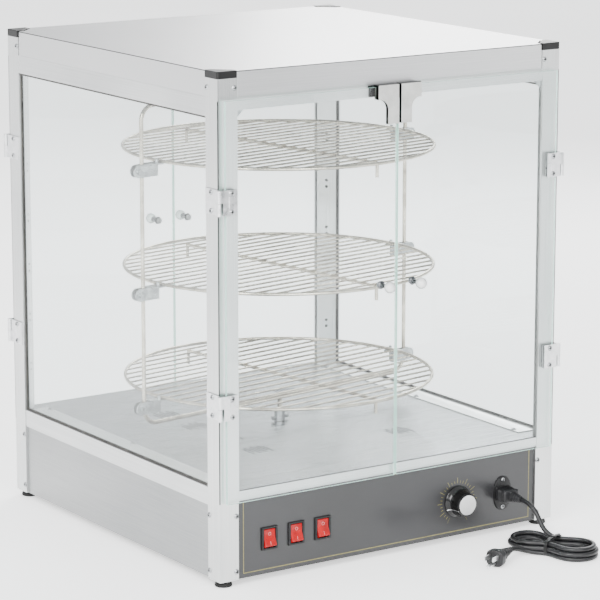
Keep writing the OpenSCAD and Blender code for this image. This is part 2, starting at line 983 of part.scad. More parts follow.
module post_hinge_leaves() {
    color("#d0d0d0")
    at_corners()
        for (z = hinge_zs)
            translate([0, 0, z])
                post_leaf();
}

module hinge_pins() {
    color("#9a9a9a")
    at_corners()
        for (z = hinge_zs)
            translate([pin_u, pin_v, z - hinge_h / 2])
                cylinder(h = hinge_h - 1, d = hinge_pin_d);
}

// ---- doors, each drawn as the front left one ----
module place_door(right, rear) {
    at_corner(right, rear)
        translate([pin_u, pin_v, 0])
            rotate([0, 0, -door_angle])
                translate([-pin_u, -pin_v, 0])
                    children();
}

module door_screw_holes() {
    for (z = hinge_zs)
        for (s = [-1, 1])
            translate([clamp_x, -door_face, z + s * clamp_screw_up])
                rotate([90, 0, 0])
                    cylinder(h = 40, d = 4, center = true);
}

module door_glass(right, rear) {
    color([0.82, 0.92, 0.89, 0.3])
    place_door(right, rear)
        difference() {
            translate([door_inset, -door_face, door_low])
                cube([door_w, door_glass_t, door_high - door_low]);
            door_screw_holes();
            translate([door_inset + door_w - knob_in, -door_face, knob_z])
                rotate([90, 0, 0])
                    cylinder(h = 40, d = 5, center = true);
        }
}

module door_clamps(right, rear) {
    color("#d0d0d0")
    place_door(right, rear)
        for (z = hinge_zs)
            translate([0, 0, z]) {
                difference() {
                    union() {
                        // outer plate, raised clamp strip and upper knuckle
                        translate([2, -door_face - leaf_t, -hinge_h / 2])
                            cube([clamp_w, leaf_t, hinge_h]);
                        translate([clamp_x - 3.5, -door_face - leaf_t - 1.2, -clamp_screw_up + 4.2])
                            cube([7, 2, 2 * clamp_screw_up - 8.4]);
                        translate([pin_u, -door_face - leaf_t, 0])
                            cube([6, leaf_t, hinge_h / 2]);
                        translate([pin_u, pin_v, 0])
                            cylinder(h = hinge_h / 2, d = knuckle_d);
                        // pad behind the glass
                        translate([door_inset + 0.5, -door_back, -hinge_h / 2])
                            cube([clamp_w - door_inset + 1, pad_t, hinge_h]);
                    }
                    translate([pin_u, pin_v, -1])
                        cylinder(h = hinge_h, d = hinge_pin_d + 2 * run);
                }
                for (s = [-1, 1])
                    translate([clamp_x, -door_face - leaf_t, s * clamp_screw_up])
                        rotate([-90, 0, 0])
                            rotate_extrude()
                                polygon([[0, door_glass_t + leaf_t], [2, door_glass_t + leaf_t], [2, 0],
                                    [3.6, 0], [3.6, -0.8], [2.2, -2], [0, -2]]);
            }
}

module door_knob(right, rear) {
    color("#f2f2f0")
    place_door(right, rear)
        translate([door_inset + door_w - knob_in, -door_face, knob_z])
            rotate([90, 0, 0])
                rotate_extrude() {
                    // seat, neck and ball outside, screw and its head inside
                    polygon([[0, 0], [5.5, 0], [5.5, 1.5], [3, 3], [3, knob_out], [0, knob_out]]);
                    translate([0, knob_out])
                        intersection() {
                            circle(d = knob_ball_d);
                            translate([0, -knob_ball_d])
                                square([knob_ball_d, 2 * knob_ball_d]);
                        }
                    polygon([[0, 0], [2, 0], [2, -door_glass_t], [4.5, -door_glass_t],
                        [4.5, -door_glass_t - 1.8], [0, -door_glass_t - 1.8]]);
                }
}

module latch_outline() {
    difference() {
        translate([-latch_w, latch_top - latch_h])
            square([latch_w, latch_h]);
        translate([-latch_w - 1, latch_top - latch_h - 1])
            square([latch_w - latch_low_w + 1, latch_h - latch_wide_h - latch_curve + 1]);
        translate([-latch_w, latch_top - latch_wide_h - latch_curve])
            difference() {
                translate([-1, -1])
                    square([latch_w - latch_low_w + 1, latch_curve + 1]);
                translate([latch_w - latch_low_w, latch_curve])
                    difference() {
                        translate([-latch_curve, -latch_curve])
                            square(latch_curve);
                        translate([-latch_curve, -latch_curve])
                            circle(r = latch_curve);
                    }
            }
    }
}

module latch_plate(right, rear) {
    color("#d6d6d4")
    place_door(right, rear)
        translate([door_inset + door_w - 0.5, -door_face, 0]) {
            rotate([90, 0, 0])
                linear_extrude(latch_t)
                    latch_outline();
            translate([-latch_w, -latch_t, door_high])
                cube([latch_w, door_glass_t + 2 * latch_t, latch_top - door_high]);
            translate([-latch_w, door_glass_t, latch_top - latch_wide_h])
                cube([latch_w, latch_t, latch_wide_h]);
        }
}

module front_left_door_glass() {
    door_glass(0, 0);
}

module front_left_door_clamps() {
    door_clamps(0, 0);
}

module front_left_door_knob() {
    door_knob(0, 0);
}

module front_left_latch_plate() {
    latch_plate(0, 0);
}

module front_right_door_glass() {
    door_glass(1, 0);
}

module front_right_door_clamps() {
    door_clamps(1, 0);
}

module front_right_door_knob() {
    door_knob(1, 0);
}

module front_right_latch_plate() {
    latch_plate(1, 0);
}

module rear_left_door_glass() {
    door_glass(0, 1);
}

module rear_left_door_clamps() {
    door_clamps(0, 1);
}

module rear_left_door_knob() {
    door_knob(0, 1);
}

module rear_left_latch_plate() {
    latch_plate(0, 1);
}

module rear_right_door_glass() {
    door_glass(1, 1);
}

module rear_right_door_clamps() {
    door_clamps(1, 1);
}

module rear_right_door_knob() {
    door_knob(1, 1);
}

module rear_right_latch_plate() {
    latch_plate(1, 1);
}

module magnet_catches() {
    color("#151515")
    on_ends()
        translate([0, catch_deep / 2 - catch_proud, catch_z])
            slab(catch_w, catch_deep, catch_h);
}

// ---- rack ----
module turned() {
    rotate([0, 0, rack_turn])
        children();
}

module hub_collar() {
    color("#6f7173")
    turned()
        difference() {
            union() {
                translate([0, 0, collar_low])
                    cylinder(h = collar_h, d = collar_d);
                for (s = [-1, 1])
                    translate([s * 7, 0, collar_low + 5])
                        rotate([0, s * 90, 0]) {
                            cylinder(h = 5, d = 3);
                            translate([0, 0, 4])
                                cylinder(h = 4, d = 6);
                        }
            }
            translate([0, 0, collar_low - 1])
                cylinder(h = shaft_in_collar + 1, d = shaft_d);
            translate([0, 0, collar_low + shaft_in_collar])
                cylinder(h = collar_h, d = stem_d);
        }
}

module rod(len) {
    cylinder(h = len, d = rod_d);
}

module loop_corner() {
    rotate([90, 0, 0])
        rotate_extrude(angle = 90)
            translate([bend_r, 0])
                circle(d = rod_d);
}

module rack_carrier() {
    straight = 2 * (post_r - bend_r);
    rise = loop_high - loop_low - 2 * bend_r;
    color("#b3aa98")
    turned() {
        for (s = [0, 1])
            mirror([s, 0, 0]) {
                translate([post_r, 0, loop_low + bend_r])
                    rod(rise);
                translate([post_r - bend_r, 0, loop_high - bend_r])
                    loop_corner();
                translate([post_r - bend_r, 0, loop_low + bend_r])
                    mirror([0, 0, 1])
                        loop_corner();
            }
        for (z = [loop_low, loop_high])
            translate([-straight / 2, 0, z])
                rotate([0, 90, 0])
                    rod(straight);
        translate([0, 0, collar_low + shaft_in_collar])
            cylinder(h = loop_low - collar_low - shaft_in_collar, d = stem_d);
    }
}

module shelf(z) {
    pitch = 2 * shelf_r / (shelf_wires + 1);
    color("#cfc9bd")
    turned()
        translate([0, 0, z]) {
            rotate_extrude($fn = 96)
                translate([shelf_r, 0])
                    circle(d = shelf_rim_d);
            for (i = [1 : shelf_wires]) {
                y = -shelf_r + i * pitch;
                half = sqrt(shelf_r * shelf_r - y * y);
                translate([-half, y, 0])
                    rotate([0, 90, 0])
                        cylinder(h = 2 * half, d = shelf_wire_d, $fn = 24);
            }
            // cross bar under the wires, its ends turned down
            translate([0, bar_half, -shelf_wire_d / 2 - bar_d / 2 + 0.6])
                rotate([90, 0, 0])
                    cylinder(h = 2 * bar_half, d = bar_d, $fn = 24);
            for (s = [-1, 1])
                translate([0, s * bar_half, -shelf_wire_d / 2 - bar_d / 2 + 0.6]) {
                    sphere(d = bar_d, $fn = 24);
                    translate([0, 0, -bar_drop])
                        cylinder(h = bar_drop, d = bar_d, $fn = 24);
                }
        }
}

module shelf_top() {
    shelf(shelf_zs[2]);
}

module shelf_middle() {
    shelf(shelf_zs[1]);
}

module shelf_bottom() {
    shelf(shelf_zs[0]);
}

// folded clamp on the upright: two cheeks, a top flange under the rim, a lug outside it and a screw
module bracket() {
    top = -shelf_rim_d / 2;
    cheek_in = rod_d / 2;
    difference() {
        union() {
            for (s = [-1, 1])
                translate([bracket_in + 4, s * (cheek_in + bracket_t / 2) - bracket_t / 2, top - bracket_h]) {
                    cube([bracket_out - bracket_in - 4, bracket_t, bracket_h]);
                    translate([bracket_out - bracket_in - 4, 0, bracket_h / 2])
                        rotate([-90, 0, 0])
                            cylinder(h = bracket_t, d = bracket_h);
                }
            translate([bracket_in - 3, -9, top - bracket_t])
                cube([22, 18, bracket_t]);
            translate([bracket_in + 4, -cheek_in - 1, top - bracket_h])
                cube([bracket_t, 2 * cheek_in + 2, bracket_h]);
            translate([shelf_d / 2 + 4, 6, top - 1])
                cylinder(h = 7, d = 5);
        }
        translate([bracket_screw_r, 0, top - bracket_h / 2])
            rotate([90, 0, 0])
                cylinder(h = 30, d = 4, center = true);
    }
    translate([bracket_screw_r, 9, top - bracket_h / 2])
        rotate([90, 0, 0]) {
            cylinder(h = 17, d = 4);
            cylinder(h = 4, d = 7, $fn = 6);
        }
}

module shelf_brackets() {
    color("#c4c2bd")
    turned()
        for (z = shelf_zs)
            for (s = [0, 180])
                rotate([0, 0, s])
                    translate([0, 0, z])
                        bracket();
}

// ---- power cord ----
module cord_connector() {
    face = panel_face - inlet_plate_t;
    relief_l = face - connector_l - relief_end_y;
    color("#161616")
    translate([inlet_x, 0, control_z]) {
        // nose inside the inlet
        translate([0, face + nose_l / 2, -nose_h / 2])
            slab(nose_w, nose_l, nose_h);
        translate([0, face - connector_l / 2, -connector_h / 2])
            slab(connector_w, connector_l, connector_h);
        // tapered strain relief
        translate([0, face - connector_l, 0])
            rotate([90, 0, 0])
                rotate_extrude()
                    polygon([[0, 0], [relief_big_r, 0], [cord_r + 1, relief_l], [0, relief_l]]);
    }
}

// tube through the route's points: rings set square to the path's direction
function unit(v) = v / norm(v);
function path_dir(p, i) = unit(p[min(i + 1, len(p) - 1)] - p[max(i - 1, 0)]);
function ring_at(p, i, r, n) =
    let (d = path_dir(p, i), side = unit(cross(d, [0, 0, 1])), up = cross(side, d))
        [for (k = [0 : n - 1]) p[i] + r * (cos(360 * k / n) * side + sin(360 * k / n) * up)];

module tube(p, r, n) {
    m = len(p);
    points = [for (i = [0 : m - 1]) for (q = ring_at(p, i, r, n)) q];
    walls = [for (i = [0 : m - 2]) for (k = [0 : n - 1])
        [i * n + k, (i + 1) * n + k, (i + 1) * n + (k + 1) % n, i * n + (k + 1) % n]];
    first = [for (k = [0 : n - 1]) k];
    last = [for (k = [0 : n - 1]) (m - 1) * n + n - 1 - k];
    polyhedron(points, concat(walls, [first, last]));
}

// the two stretches outside the hank: connector to hank, and hank to plug
module cord_lead() {
    color("#222222") {
        tube(cord_route, cord_r, 8);
        tube(tail_route, cord_r, 8);
    }
}

module cord_hank() {
    color("#222222")
    translate([hank_middle[0], hank_middle[1], 0])
        rotate([0, 0, hank_turn])
            linear_extrude(hank_h)
                union() {
                    square([hank_l - hank_w, hank_w], center = true);
                    for (s = [-1, 1])
                        translate([s * (hank_l - hank_w) / 2, 0])
                            circle(d = hank_w);
                }
}

module cord_plug() {
    translate(plug_pos)
        rotate([0, 0, plug_turn]) {
            color("#1d1d1d") {
                translate([0, 0, -plug_pos[2]])
                    slab(2 * plug_half, plug_w, plug_h);
                translate([-plug_half, 0, 0])
                    rotate([0, -90, 0])
                        rotate_extrude()
                            polygon([[0, 0], [relief_big_r, 0], [cord_r + 1, plug_relief], [0, plug_relief]]);
            }
            // two flat blades and the round earth pin
            color("#c9c9c9") {
                for (s = [-1, 1])
                    translate([plug_half - 1, s * blade_gap / 2 - blade_t / 2, 0])
                        cube([blade_l + 1, blade_t, blade_w]);
                translate([plug_half - 1, 0, -earth_down])
                    rotate([0, 90, 0])
                        cylinder(h = blade_l + 4, d = earth_d);
            }
        }
}

corner_posts();
corner_caps();
feet();
roof_cover();
ceiling_panel();
top_side_rails();
top_cross_rails();
corner_gussets();
bottom_side_rails();
bottom_cross_rails();
side_glasses();
glass_gaskets();
side_panels();
control_panel();
rear_panel();
deck_plate();
base_pan();
case_screws();
heating_element();
gear_motor();
motor_bracket();
deck_bush();
oven_lamp();
thermostat();
thermostat_knob();
switch_housings();
heat_rocker();
light_rocker();
turntable_rocker();
power_inlet();
post_hinge_leaves();
hinge_pins();
magnet_catches();
front_left_door_glass();
front_left_door_clamps();
front_left_door_knob();
front_left_latch_plate();
front_right_door_glass();
front_right_door_clamps();
front_right_door_knob();
front_right_latch_plate();
rear_left_door_glass();
rear_left_door_clamps();
rear_left_door_knob();
rear_left_latch_plate();
rear_right_door_glass();
rear_right_door_clamps();
rear_right_door_knob();
rear_right_latch_plate();
motor_shaft();
hub_collar();
rack_carrier();
shelf_top();
shelf_middle();
shelf_bottom();
shelf_brackets();
cord_connector();
cord_lead();
cord_hank();
cord_plug();
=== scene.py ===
# Heated countertop display case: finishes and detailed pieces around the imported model.
import json
import math
import bmesh
import bpy
import numpy as np
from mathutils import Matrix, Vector
from mathutils.bvhtree import BVHTree


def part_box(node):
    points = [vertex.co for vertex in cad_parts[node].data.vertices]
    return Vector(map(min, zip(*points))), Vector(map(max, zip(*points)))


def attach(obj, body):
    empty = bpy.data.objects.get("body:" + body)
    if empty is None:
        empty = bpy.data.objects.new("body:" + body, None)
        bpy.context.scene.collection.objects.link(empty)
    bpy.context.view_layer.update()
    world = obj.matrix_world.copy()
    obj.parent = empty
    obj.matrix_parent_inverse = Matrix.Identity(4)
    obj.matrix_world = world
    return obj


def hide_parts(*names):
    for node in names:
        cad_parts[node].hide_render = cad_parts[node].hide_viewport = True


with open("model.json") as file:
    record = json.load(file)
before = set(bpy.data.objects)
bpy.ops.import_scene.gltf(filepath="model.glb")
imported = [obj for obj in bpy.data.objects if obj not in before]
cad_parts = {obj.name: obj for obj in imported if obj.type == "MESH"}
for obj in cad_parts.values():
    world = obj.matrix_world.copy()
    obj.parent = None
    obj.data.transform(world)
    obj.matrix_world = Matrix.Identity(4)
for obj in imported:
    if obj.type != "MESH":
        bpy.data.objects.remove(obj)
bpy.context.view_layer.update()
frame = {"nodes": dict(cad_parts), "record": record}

mm = 0.001


def linearColour(hexText):
    # sRGB hex to linear red, green, blue
    parts = np.array([int(hexText[i:i + 2], 16) for i in (1, 3, 5)]) / 255
    return (*np.where(parts <= 0.04045, parts / 12.92, ((parts + 0.055) / 1.055) ** 2.4), 1.0)


def addNode(material, kind, inputs=None, **settings):
    # adds one node; an input is a value or another node's output
    made = material.node_tree.nodes.new(kind)
    for name, value in settings.items():
        setattr(made, name, value)
    for key, value in (inputs or {}).items():
        if isinstance(value, bpy.types.NodeSocket):
            material.node_tree.links.new(value, made.inputs[key])
        else:
            made.inputs[key].default_value = value
    return made


def startMaterial(name, **shaderInputs):
    # a new material with one Principled shader on its output
    material = bpy.data.materials.new(name)
    material.use_nodes = True
    material.node_tree.nodes.clear()
    shader = addNode(material, "ShaderNodeBsdfPrincipled",
                     {key.replace("_", " "): value for key, value in shaderInputs.items()})
    addNode(material, "ShaderNodeOutputMaterial", {"Surface": shader.outputs[0]})
    return material, shader


def driveInput(material, shader, key, socket):
    material.node_tree.links.new(socket, shader.inputs[key])


def stretchedNoise(material, acrossMm, alongMm, alongAxis, detail=3.0):
    # noise drawn out along one axis: wide cells alongMm long, acrossMm across
    coords = addNode(material, "ShaderNodeTexCoord")
    scale = [1 / (acrossMm * mm)] * 3
    scale["xyz".index(alongAxis)] = 1 / (alongMm * mm)
    mapped = addNode(material, "ShaderNodeMapping",
                     {"Vector": coords.outputs["Object"], "Scale": scale})
    return addNode(material, "ShaderNodeTexNoise",
                   {"Vector": mapped.outputs[0], "Scale": 1.0, "Detail": detail, "Roughness": 0.6})


def evenNoise(material, sizeMm, detail=4.0):
    coords = addNode(material, "ShaderNodeTexCoord")
    return addNode(material, "ShaderNodeTexNoise",
                   {"Vector": coords.outputs["Object"], "Scale": 1 / (sizeMm * mm), "Detail": detail})


def ramp(material, socket, lowHex, highHex, low=0.3, high=0.7):
    made = addNode(material, "ShaderNodeValToRGB", {"Fac": socket})
    made.color_ramp.elements[0].position, made.color_ramp.elements[1].position = low, high
    made.color_ramp.elements[0].color = linearColour(lowHex)
    made.color_ramp.elements[1].color = linearColour(highHex)
    return made.outputs["Color"]


def spread(material, socket, low, high):
    # a 0 to 1 pattern turned into a range
    return addNode(material, "ShaderNodeMapRange", {"Value": socket, "From Min": 0.25, "From Max": 0.75,
                                                    "To Min": low, "To Max": high}).outputs[0]


def bump(material, socket, heightMm, strength=1.0):
    return addNode(material, "ShaderNodeBump",
                   {"Height": socket, "Distance": heightMm * mm, "Strength": strength}).outputs[0]


def calc(material, operation, first, second=0.0):
    return addNode(material, "ShaderNodeMath", {0: first, 1: second}, operation=operation).outputs[0]


def between(material, value, low, high):
    # 1 where low < value < high, else 0
    over = calc(material, "GREATER_THAN", value, low)
    return calc(material, "MULTIPLY", over, calc(material, "LESS_THAN", value, high))


def blend(material, factor, first, second):
    # the first colour where factor is 0, the second where it is 1
    return addNode(material, "ShaderNodeMix", {"Factor": factor, "A": first, "B": second},
                   data_type="RGBA").outputs["Result"]


def axes(material, kind):
    # the X, Y and Z of the Object or Normal coordinate
    coords = addNode(material, "ShaderNodeTexCoord")
    return addNode(material, "ShaderNodeSeparateXYZ", {"Vector": coords.outputs[kind]}).outputs


def facesAlong(material, axis, least):
    # 1 on the faces whose normal lies along an axis, else 0
    return calc(material, "GREATER_THAN", calc(material, "ABSOLUTE", axes(material, "Normal")[axis]), least)


def facesAcross(material, axis, most):
    # 1 on the faces whose normal leans away from an axis, else 0
    return calc(material, "LESS_THAN", calc(material, "ABSOLUTE", axes(material, "Normal")[axis]), most)


def brushedMetal(name, settings):
    # sheet or extrusion with fine lines along its working direction
    material, shader = startMaterial(name, Metallic=1.0)
    lines = stretchedNoise(material, settings["lineMm"], settings["runMm"], settings["along"])
    clouds = evenNoise(material, settings["cloudMm"], 2.0)
    mixed = calc(material, "ADD", lines.outputs["Fac"], clouds.outputs["Fac"])
    halved = calc(material, "MULTIPLY", mixed, 0.5)
    colour = ramp(material, halved, settings["dark"], settings["light"], 0.35, 0.65)
    if "shade" in settings:
        # painted shade: part of the surface in a second, darker colour, such as the rim of a plate or the
        # line of a fold
        colour = blend(material, settings["shade"](material), colour, linearColour(settings["shadeHex"]))
    driveInput(material, shader, "Base Color", colour)
    driveInput(material, shader, "Roughness",
               spread(material, lines.outputs["Fac"], settings["smooth"], settings["rough"]))
    driveInput(material, shader, "Normal", bump(material, lines.outputs["Fac"], settings["depthMm"]))
    return material


def paintedRimShade(material):
    # painted shade on the faces that do not look along Y
    return facesAcross(material, "Y", 0.75)


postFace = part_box("corner_posts")[1][0]  # the posts' outer faces, as far from the middle along X as along Y
seamMm = 1.2


def paintedSeamShade(material):
    # painted shade: a dark line down the posts' outer corners beside the doors
    low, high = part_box("front_left_door_glass")
    place = axes(material, "Object")
    nearest = calc(material, "MINIMUM", calc(material, "ABSOLUTE", place["X"]),
                   calc(material, "ABSOLUTE", place["Y"]))
    return calc(material, "MULTIPLY", calc(material, "GREATER_THAN", nearest, postFace - seamMm * mm),
                between(material, place["Z"], low[2], high[2]))


def paintedSlotShade(material):
    # painted shade: the walls of the slots drawn near-black, so that they read as black from above
    return facesAcross(material, "Z", 0.75)


def paintedFoldShade(material):
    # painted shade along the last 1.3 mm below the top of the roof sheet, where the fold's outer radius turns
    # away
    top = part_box("roof_cover")[1][2]
    return between(material, axes(material, "Object")["Z"], top - 1.3 * mm, top - 0.02 * mm)


# Drawn lines of real brushing are 0.05 to 0.2 mm wide; they are drawn near 0.7 mm so that they show.
stainlessAlongX = brushedMetal("brushedStainlessAlongX", {
    "along": "x", "lineMm": 0.7, "runMm": 90, "cloudMm": 400, "dark": "#c9cbcc", "light": "#e6e7e7",
    "smooth": 0.26, "rough": 0.4, "depthMm": 0.015})
# the deck, with painted shade on the walls of its slots
deckStainless = brushedMetal("brushedDeckStainless", {
    "along": "x", "lineMm": 0.7, "runMm": 60, "cloudMm": 260, "dark": "#999c9f", "light": "#aeb0b3",
    "smooth": 0.2, "rough": 0.34, "depthMm": 0.012, "shade": paintedSlotShade, "shadeHex": "#101010"})
# the roof, with a band of painted shade along its fold
roofStainless = brushedMetal("brushedRoofStainless", {
    "along": "x", "lineMm": 0.7, "runMm": 90, "cloudMm": 700, "dark": "#c6c7c8", "light": "#dcdcdc",
    "smooth": 0.3, "rough": 0.42, "depthMm": 0.012, "shade": paintedFoldShade, "shadeHex": "#4a4b4c"})
# the side panels' brushed stainless, drawn darker than the rear panel's: painted shade
shadedSideStainless = brushedMetal("brushedStainlessAlongYPaintedShade", {
    "along": "y", "lineMm": 0.7, "runMm": 90, "cloudMm": 300, "dark": "#8d8f90", "light": "#a6a7a7",
    "smooth": 0.26, "rough": 0.4, "depthMm": 0.02})
# 6063 extrusion, clear anodised: faint die lines along the bar under a satin film, and on the posts a painted
#                                 shaded line down their outer corners beside the doors
anodisedAlongZ = brushedMetal("anodisedAluminiumAlongZ", {
    "along": "z", "lineMm": 0.9, "runMm": 260, "cloudMm": 200, "dark": "#c2c4c4", "light": "#dcdddc",
    "smooth": 0.26, "rough": 0.38, "depthMm": 0.012, "shade": paintedSeamShade, "shadeHex": "#3d3f3f"})
anodisedAlongY = brushedMetal("anodisedAluminiumAlongY", {
    "along": "y", "lineMm": 0.9, "runMm": 260, "cloudMm": 200, "dark": "#c0c2c2", "light": "#dadbdb",
    "smooth": 0.3, "rough": 0.42, "depthMm": 0.012})
anodisedAlongX = brushedMetal("anodisedAluminiumAlongX", {
    "along": "x", "lineMm": 0.9, "runMm": 260, "cloudMm": 200, "dark": "#c0c2c2", "light": "#dadbdb",
    "smooth": 0.3, "rough": 0.42, "depthMm": 0.012})
# latch plates: short random grain on the faces, and a dark rim of painted shade
tumbledSteel = brushedMetal("tumbledSteel", {
    "along": "z", "lineMm": 0.6, "runMm": 3, "cloudMm": 20, "dark": "#bdbdb9", "light": "#dfdfdc",
    "smooth": 0.26, "rough": 0.42, "depthMm": 0.01, "shade": paintedRimShade, "shadeHex": "#141414"})


def galvanisedSheet():
    # hot-dip zinc: angular spangle a few millimetres across, dull between grains
    material, shader = startMaterial("galvanisedSheet", Metallic=1.0)
    coords = addNode(material, "ShaderNodeTexCoord")
    spangle = addNode(material, "ShaderNodeTexVoronoi",
                      {"Vector": coords.outputs["Object"], "Scale": 1 / (7 * mm)})
    grey = addNode(material, "ShaderNodeSeparateColor", {"Color": spangle.outputs["Color"]})
    colour = ramp(material, grey.outputs[0], "#9fa2a4", "#bfc2c3", 0.0, 1.0)
    driveInput(material, shader, "Base Color", colour)
    driveInput(material, shader, "Roughness", spread(material, grey.outputs[1], 0.38, 0.55))
    return material


def chromePlate():
    # satin nickel-chrome over steel, with polishing haze
    material, shader = startMaterial("chromePlate", Metallic=1.0)
    haze = evenNoise(material, 9)
    driveInput(material, shader, "Base Color", ramp(material, haze.outputs["Fac"], "#d3d5d6", "#ececed"))
    driveInput(material, shader, "Roughness", spread(material, haze.outputs["Fac"], 0.24, 0.38))
    return material


def nickelWire():
    # drawn wire with dull nickel plating: warm grey, darker in patches from handling
    material, shader = startMaterial("nickelPlatedWire", Metallic=1.0)
    patches = evenNoise(material, 26)
    fine = evenNoise(material, 1.2)
    driveInput(material, shader, "Base Color", ramp(material, patches.outputs["Fac"], "#a39b8e", "#dcd5c8"))
    driveInput(material, shader, "Roughness", spread(material, fine.outputs["Fac"], 0.2, 0.36))
    driveInput(material, shader, "Normal", bump(material, fine.outputs["Fac"], 0.005, 0.3))
    return material


def zincScrew():
    # zinc-plated pan heads: grey, rubbed brighter in small patches
    material, shader = startMaterial("zincPlatedScrew", Metallic=1.0)
    rub = evenNoise(material, 2.0)
    driveInput(material, shader, "Base Color", ramp(material, rub.outputs["Fac"], "#85888b", "#c9cbcc"))
    driveInput(material, shader, "Roughness", spread(material, rub.outputs["Fac"], 0.26, 0.44))
    return material


def mouldedPlastic(name, settings):
    # injection-moulded part: spark-eroded grain as a light bump, slightly uneven gloss
    material, shader = startMaterial(name, IOR=1.5, Coat_Weight=settings.get("coat", 0.0),
                                     Coat_Roughness=0.12, Specular_IOR_Level=settings.get("shine", 0.5))
    grain = evenNoise(material, settings["grainMm"], 3.0)
    tone = evenNoise(material, settings["toneMm"], 2.0)
    driveInput(material, shader, "Base Color",
               ramp(material, tone.outputs["Fac"], settings["dark"], settings["light"]))
    driveInput(material, shader, "Roughness",
               spread(material, grain.outputs["Fac"], settings["smooth"], settings["rough"]))
    driveInput(material, shader, "Normal", bump(material, grain.outputs["Fac"], settings["depthMm"], 0.6))
    return material


blackAbs = mouldedPlastic("mouldedBlackAbs", {
    "grainMm": 0.8, "toneMm": 18, "dark": "#0a0a0a", "light": "#171718", "smooth": 0.3, "rough": 0.46,
    "depthMm": 0.03, "shine": 0.3})
phenolicBlack = mouldedPlastic("polishedBlackPhenolic", {
    "grainMm": 2.5, "toneMm": 12, "dark": "#050505", "light": "#0c0c0d", "smooth": 0.12, "rough": 0.22,
    "depthMm": 0.005, "coat": 0.1, "shine": 0.35})


def polishedKnob(settings):
    # white phenolic ball, buffed, with a painted reflection: its colour turns grey towards the outline, for
    # the darker room that its rim would mirror
    material, shader = startMaterial("polishedWhiteKnobPaintedRim", IOR=1.5, Coat_Weight=0.3, Coat_Roughness=0.08)
    tone = evenNoise(material, settings["toneMm"], 2.0)
    body = ramp(material, tone.outputs["Fac"], settings["dark"], settings["light"])
    # painted reflection: the rim colour is mixed in towards the outline
    edge = addNode(material, "ShaderNodeLayerWeight", {"Blend": 0.42}).outputs["Facing"]
    driveInput(material, shader, "Base Color", blend(material, edge, body, linearColour(settings["rim"])))
    driveInput(material, shader, "Roughness", spread(material, tone.outputs["Fac"], 0.1, 0.18))
    return material


knobWhite = polishedKnob({"toneMm": 9, "dark": "#e4e5e4", "light": "#f4f4f2", "rim": "#5c6266"})
rockerRed = mouldedPlastic("tintedRedPolycarbonate", {
    "grainMm": 1.4, "toneMm": 10, "dark": "#86060a", "light": "#a80d11", "smooth": 0.18, "rough": 0.3,
    "depthMm": 0.01, "coat": 0.1, "shine": 0.3})
footRubber = mouldedPlastic("mouldedRubberFoot", {
    "grainMm": 1.0, "toneMm": 8, "dark": "#0a0a0a", "light": "#161616", "smooth": 0.5, "rough": 0.7,
    "depthMm": 0.05, "shine": 0.3})
gasketRubber = mouldedPlastic("extrudedEpdmGasket", {
    "grainMm": 1.6, "toneMm": 30, "dark": "#2c2b29", "light": "#454340", "smooth": 0.5, "rough": 0.7,
    "depthMm": 0.04, "shine": 0.4})
cordSheath = mouldedPlastic("flexiblePvcSheath", {
    "grainMm": 1.5, "toneMm": 40, "dark": "#0f0f10", "light": "#1b1b1d", "smooth": 0.3, "rough": 0.4,
    "depthMm": 0.03, "shine": 0.4})
plugPvc = mouldedPlastic("mouldedPvcPlug", {
    "grainMm": 1.1, "toneMm": 15, "dark": "#101011", "light": "#1e1e20", "smooth": 0.34, "rough": 0.48,
    "depthMm": 0.04, "shine": 0.35})
markWhite = mouldedPlastic("padPrintedWhite", {
    "grainMm": 0.5, "toneMm": 5, "dark": "#c98683", "light": "#d9a5a2", "smooth": 0.4, "rough": 0.5,
    "depthMm": 0.005})


def bushBronze():
    # sintered bronze bearing: fine pores and oil-dark patches
    material, shader = startMaterial("sinteredBronze", Metallic=1.0)
    pores = evenNoise(material, 0.6)
    driveInput(material, shader, "Base Color", ramp(material, pores.outputs["Fac"], "#7d6128", "#c39a4b"))
    driveInput(material, shader, "Roughness", spread(material, pores.outputs["Fac"], 0.35, 0.6))
    return material


def heaterSheath():
    # nickel-iron heater tube, oxidised olive-brown by use
    material, shader = startMaterial("oxidisedHeaterSheath", Metallic=0.8)
    heat = evenNoise(material, 22)
    driveInput(material, shader, "Base Color", ramp(material, heat.outputs["Fac"], "#3d3833", "#7b7368"))
    driveInput(material, shader, "Roughness", spread(material, heat.outputs["Fac"], 0.45, 0.65))
    return material


def frostedBulb():
    # acid-etched bulb glass: white and soft, a little uneven
    material, shader = startMaterial("frostedBulbGlass", IOR=1.5)
    etch = evenNoise(material, 1.5)
    driveInput(material, shader, "Base Color", ramp(material, etch.outputs["Fac"], "#e3e1d8", "#f7f5ee"))
    driveInput(material, shader, "Roughness", spread(material, etch.outputs["Fac"], 0.35, 0.5))
    return material


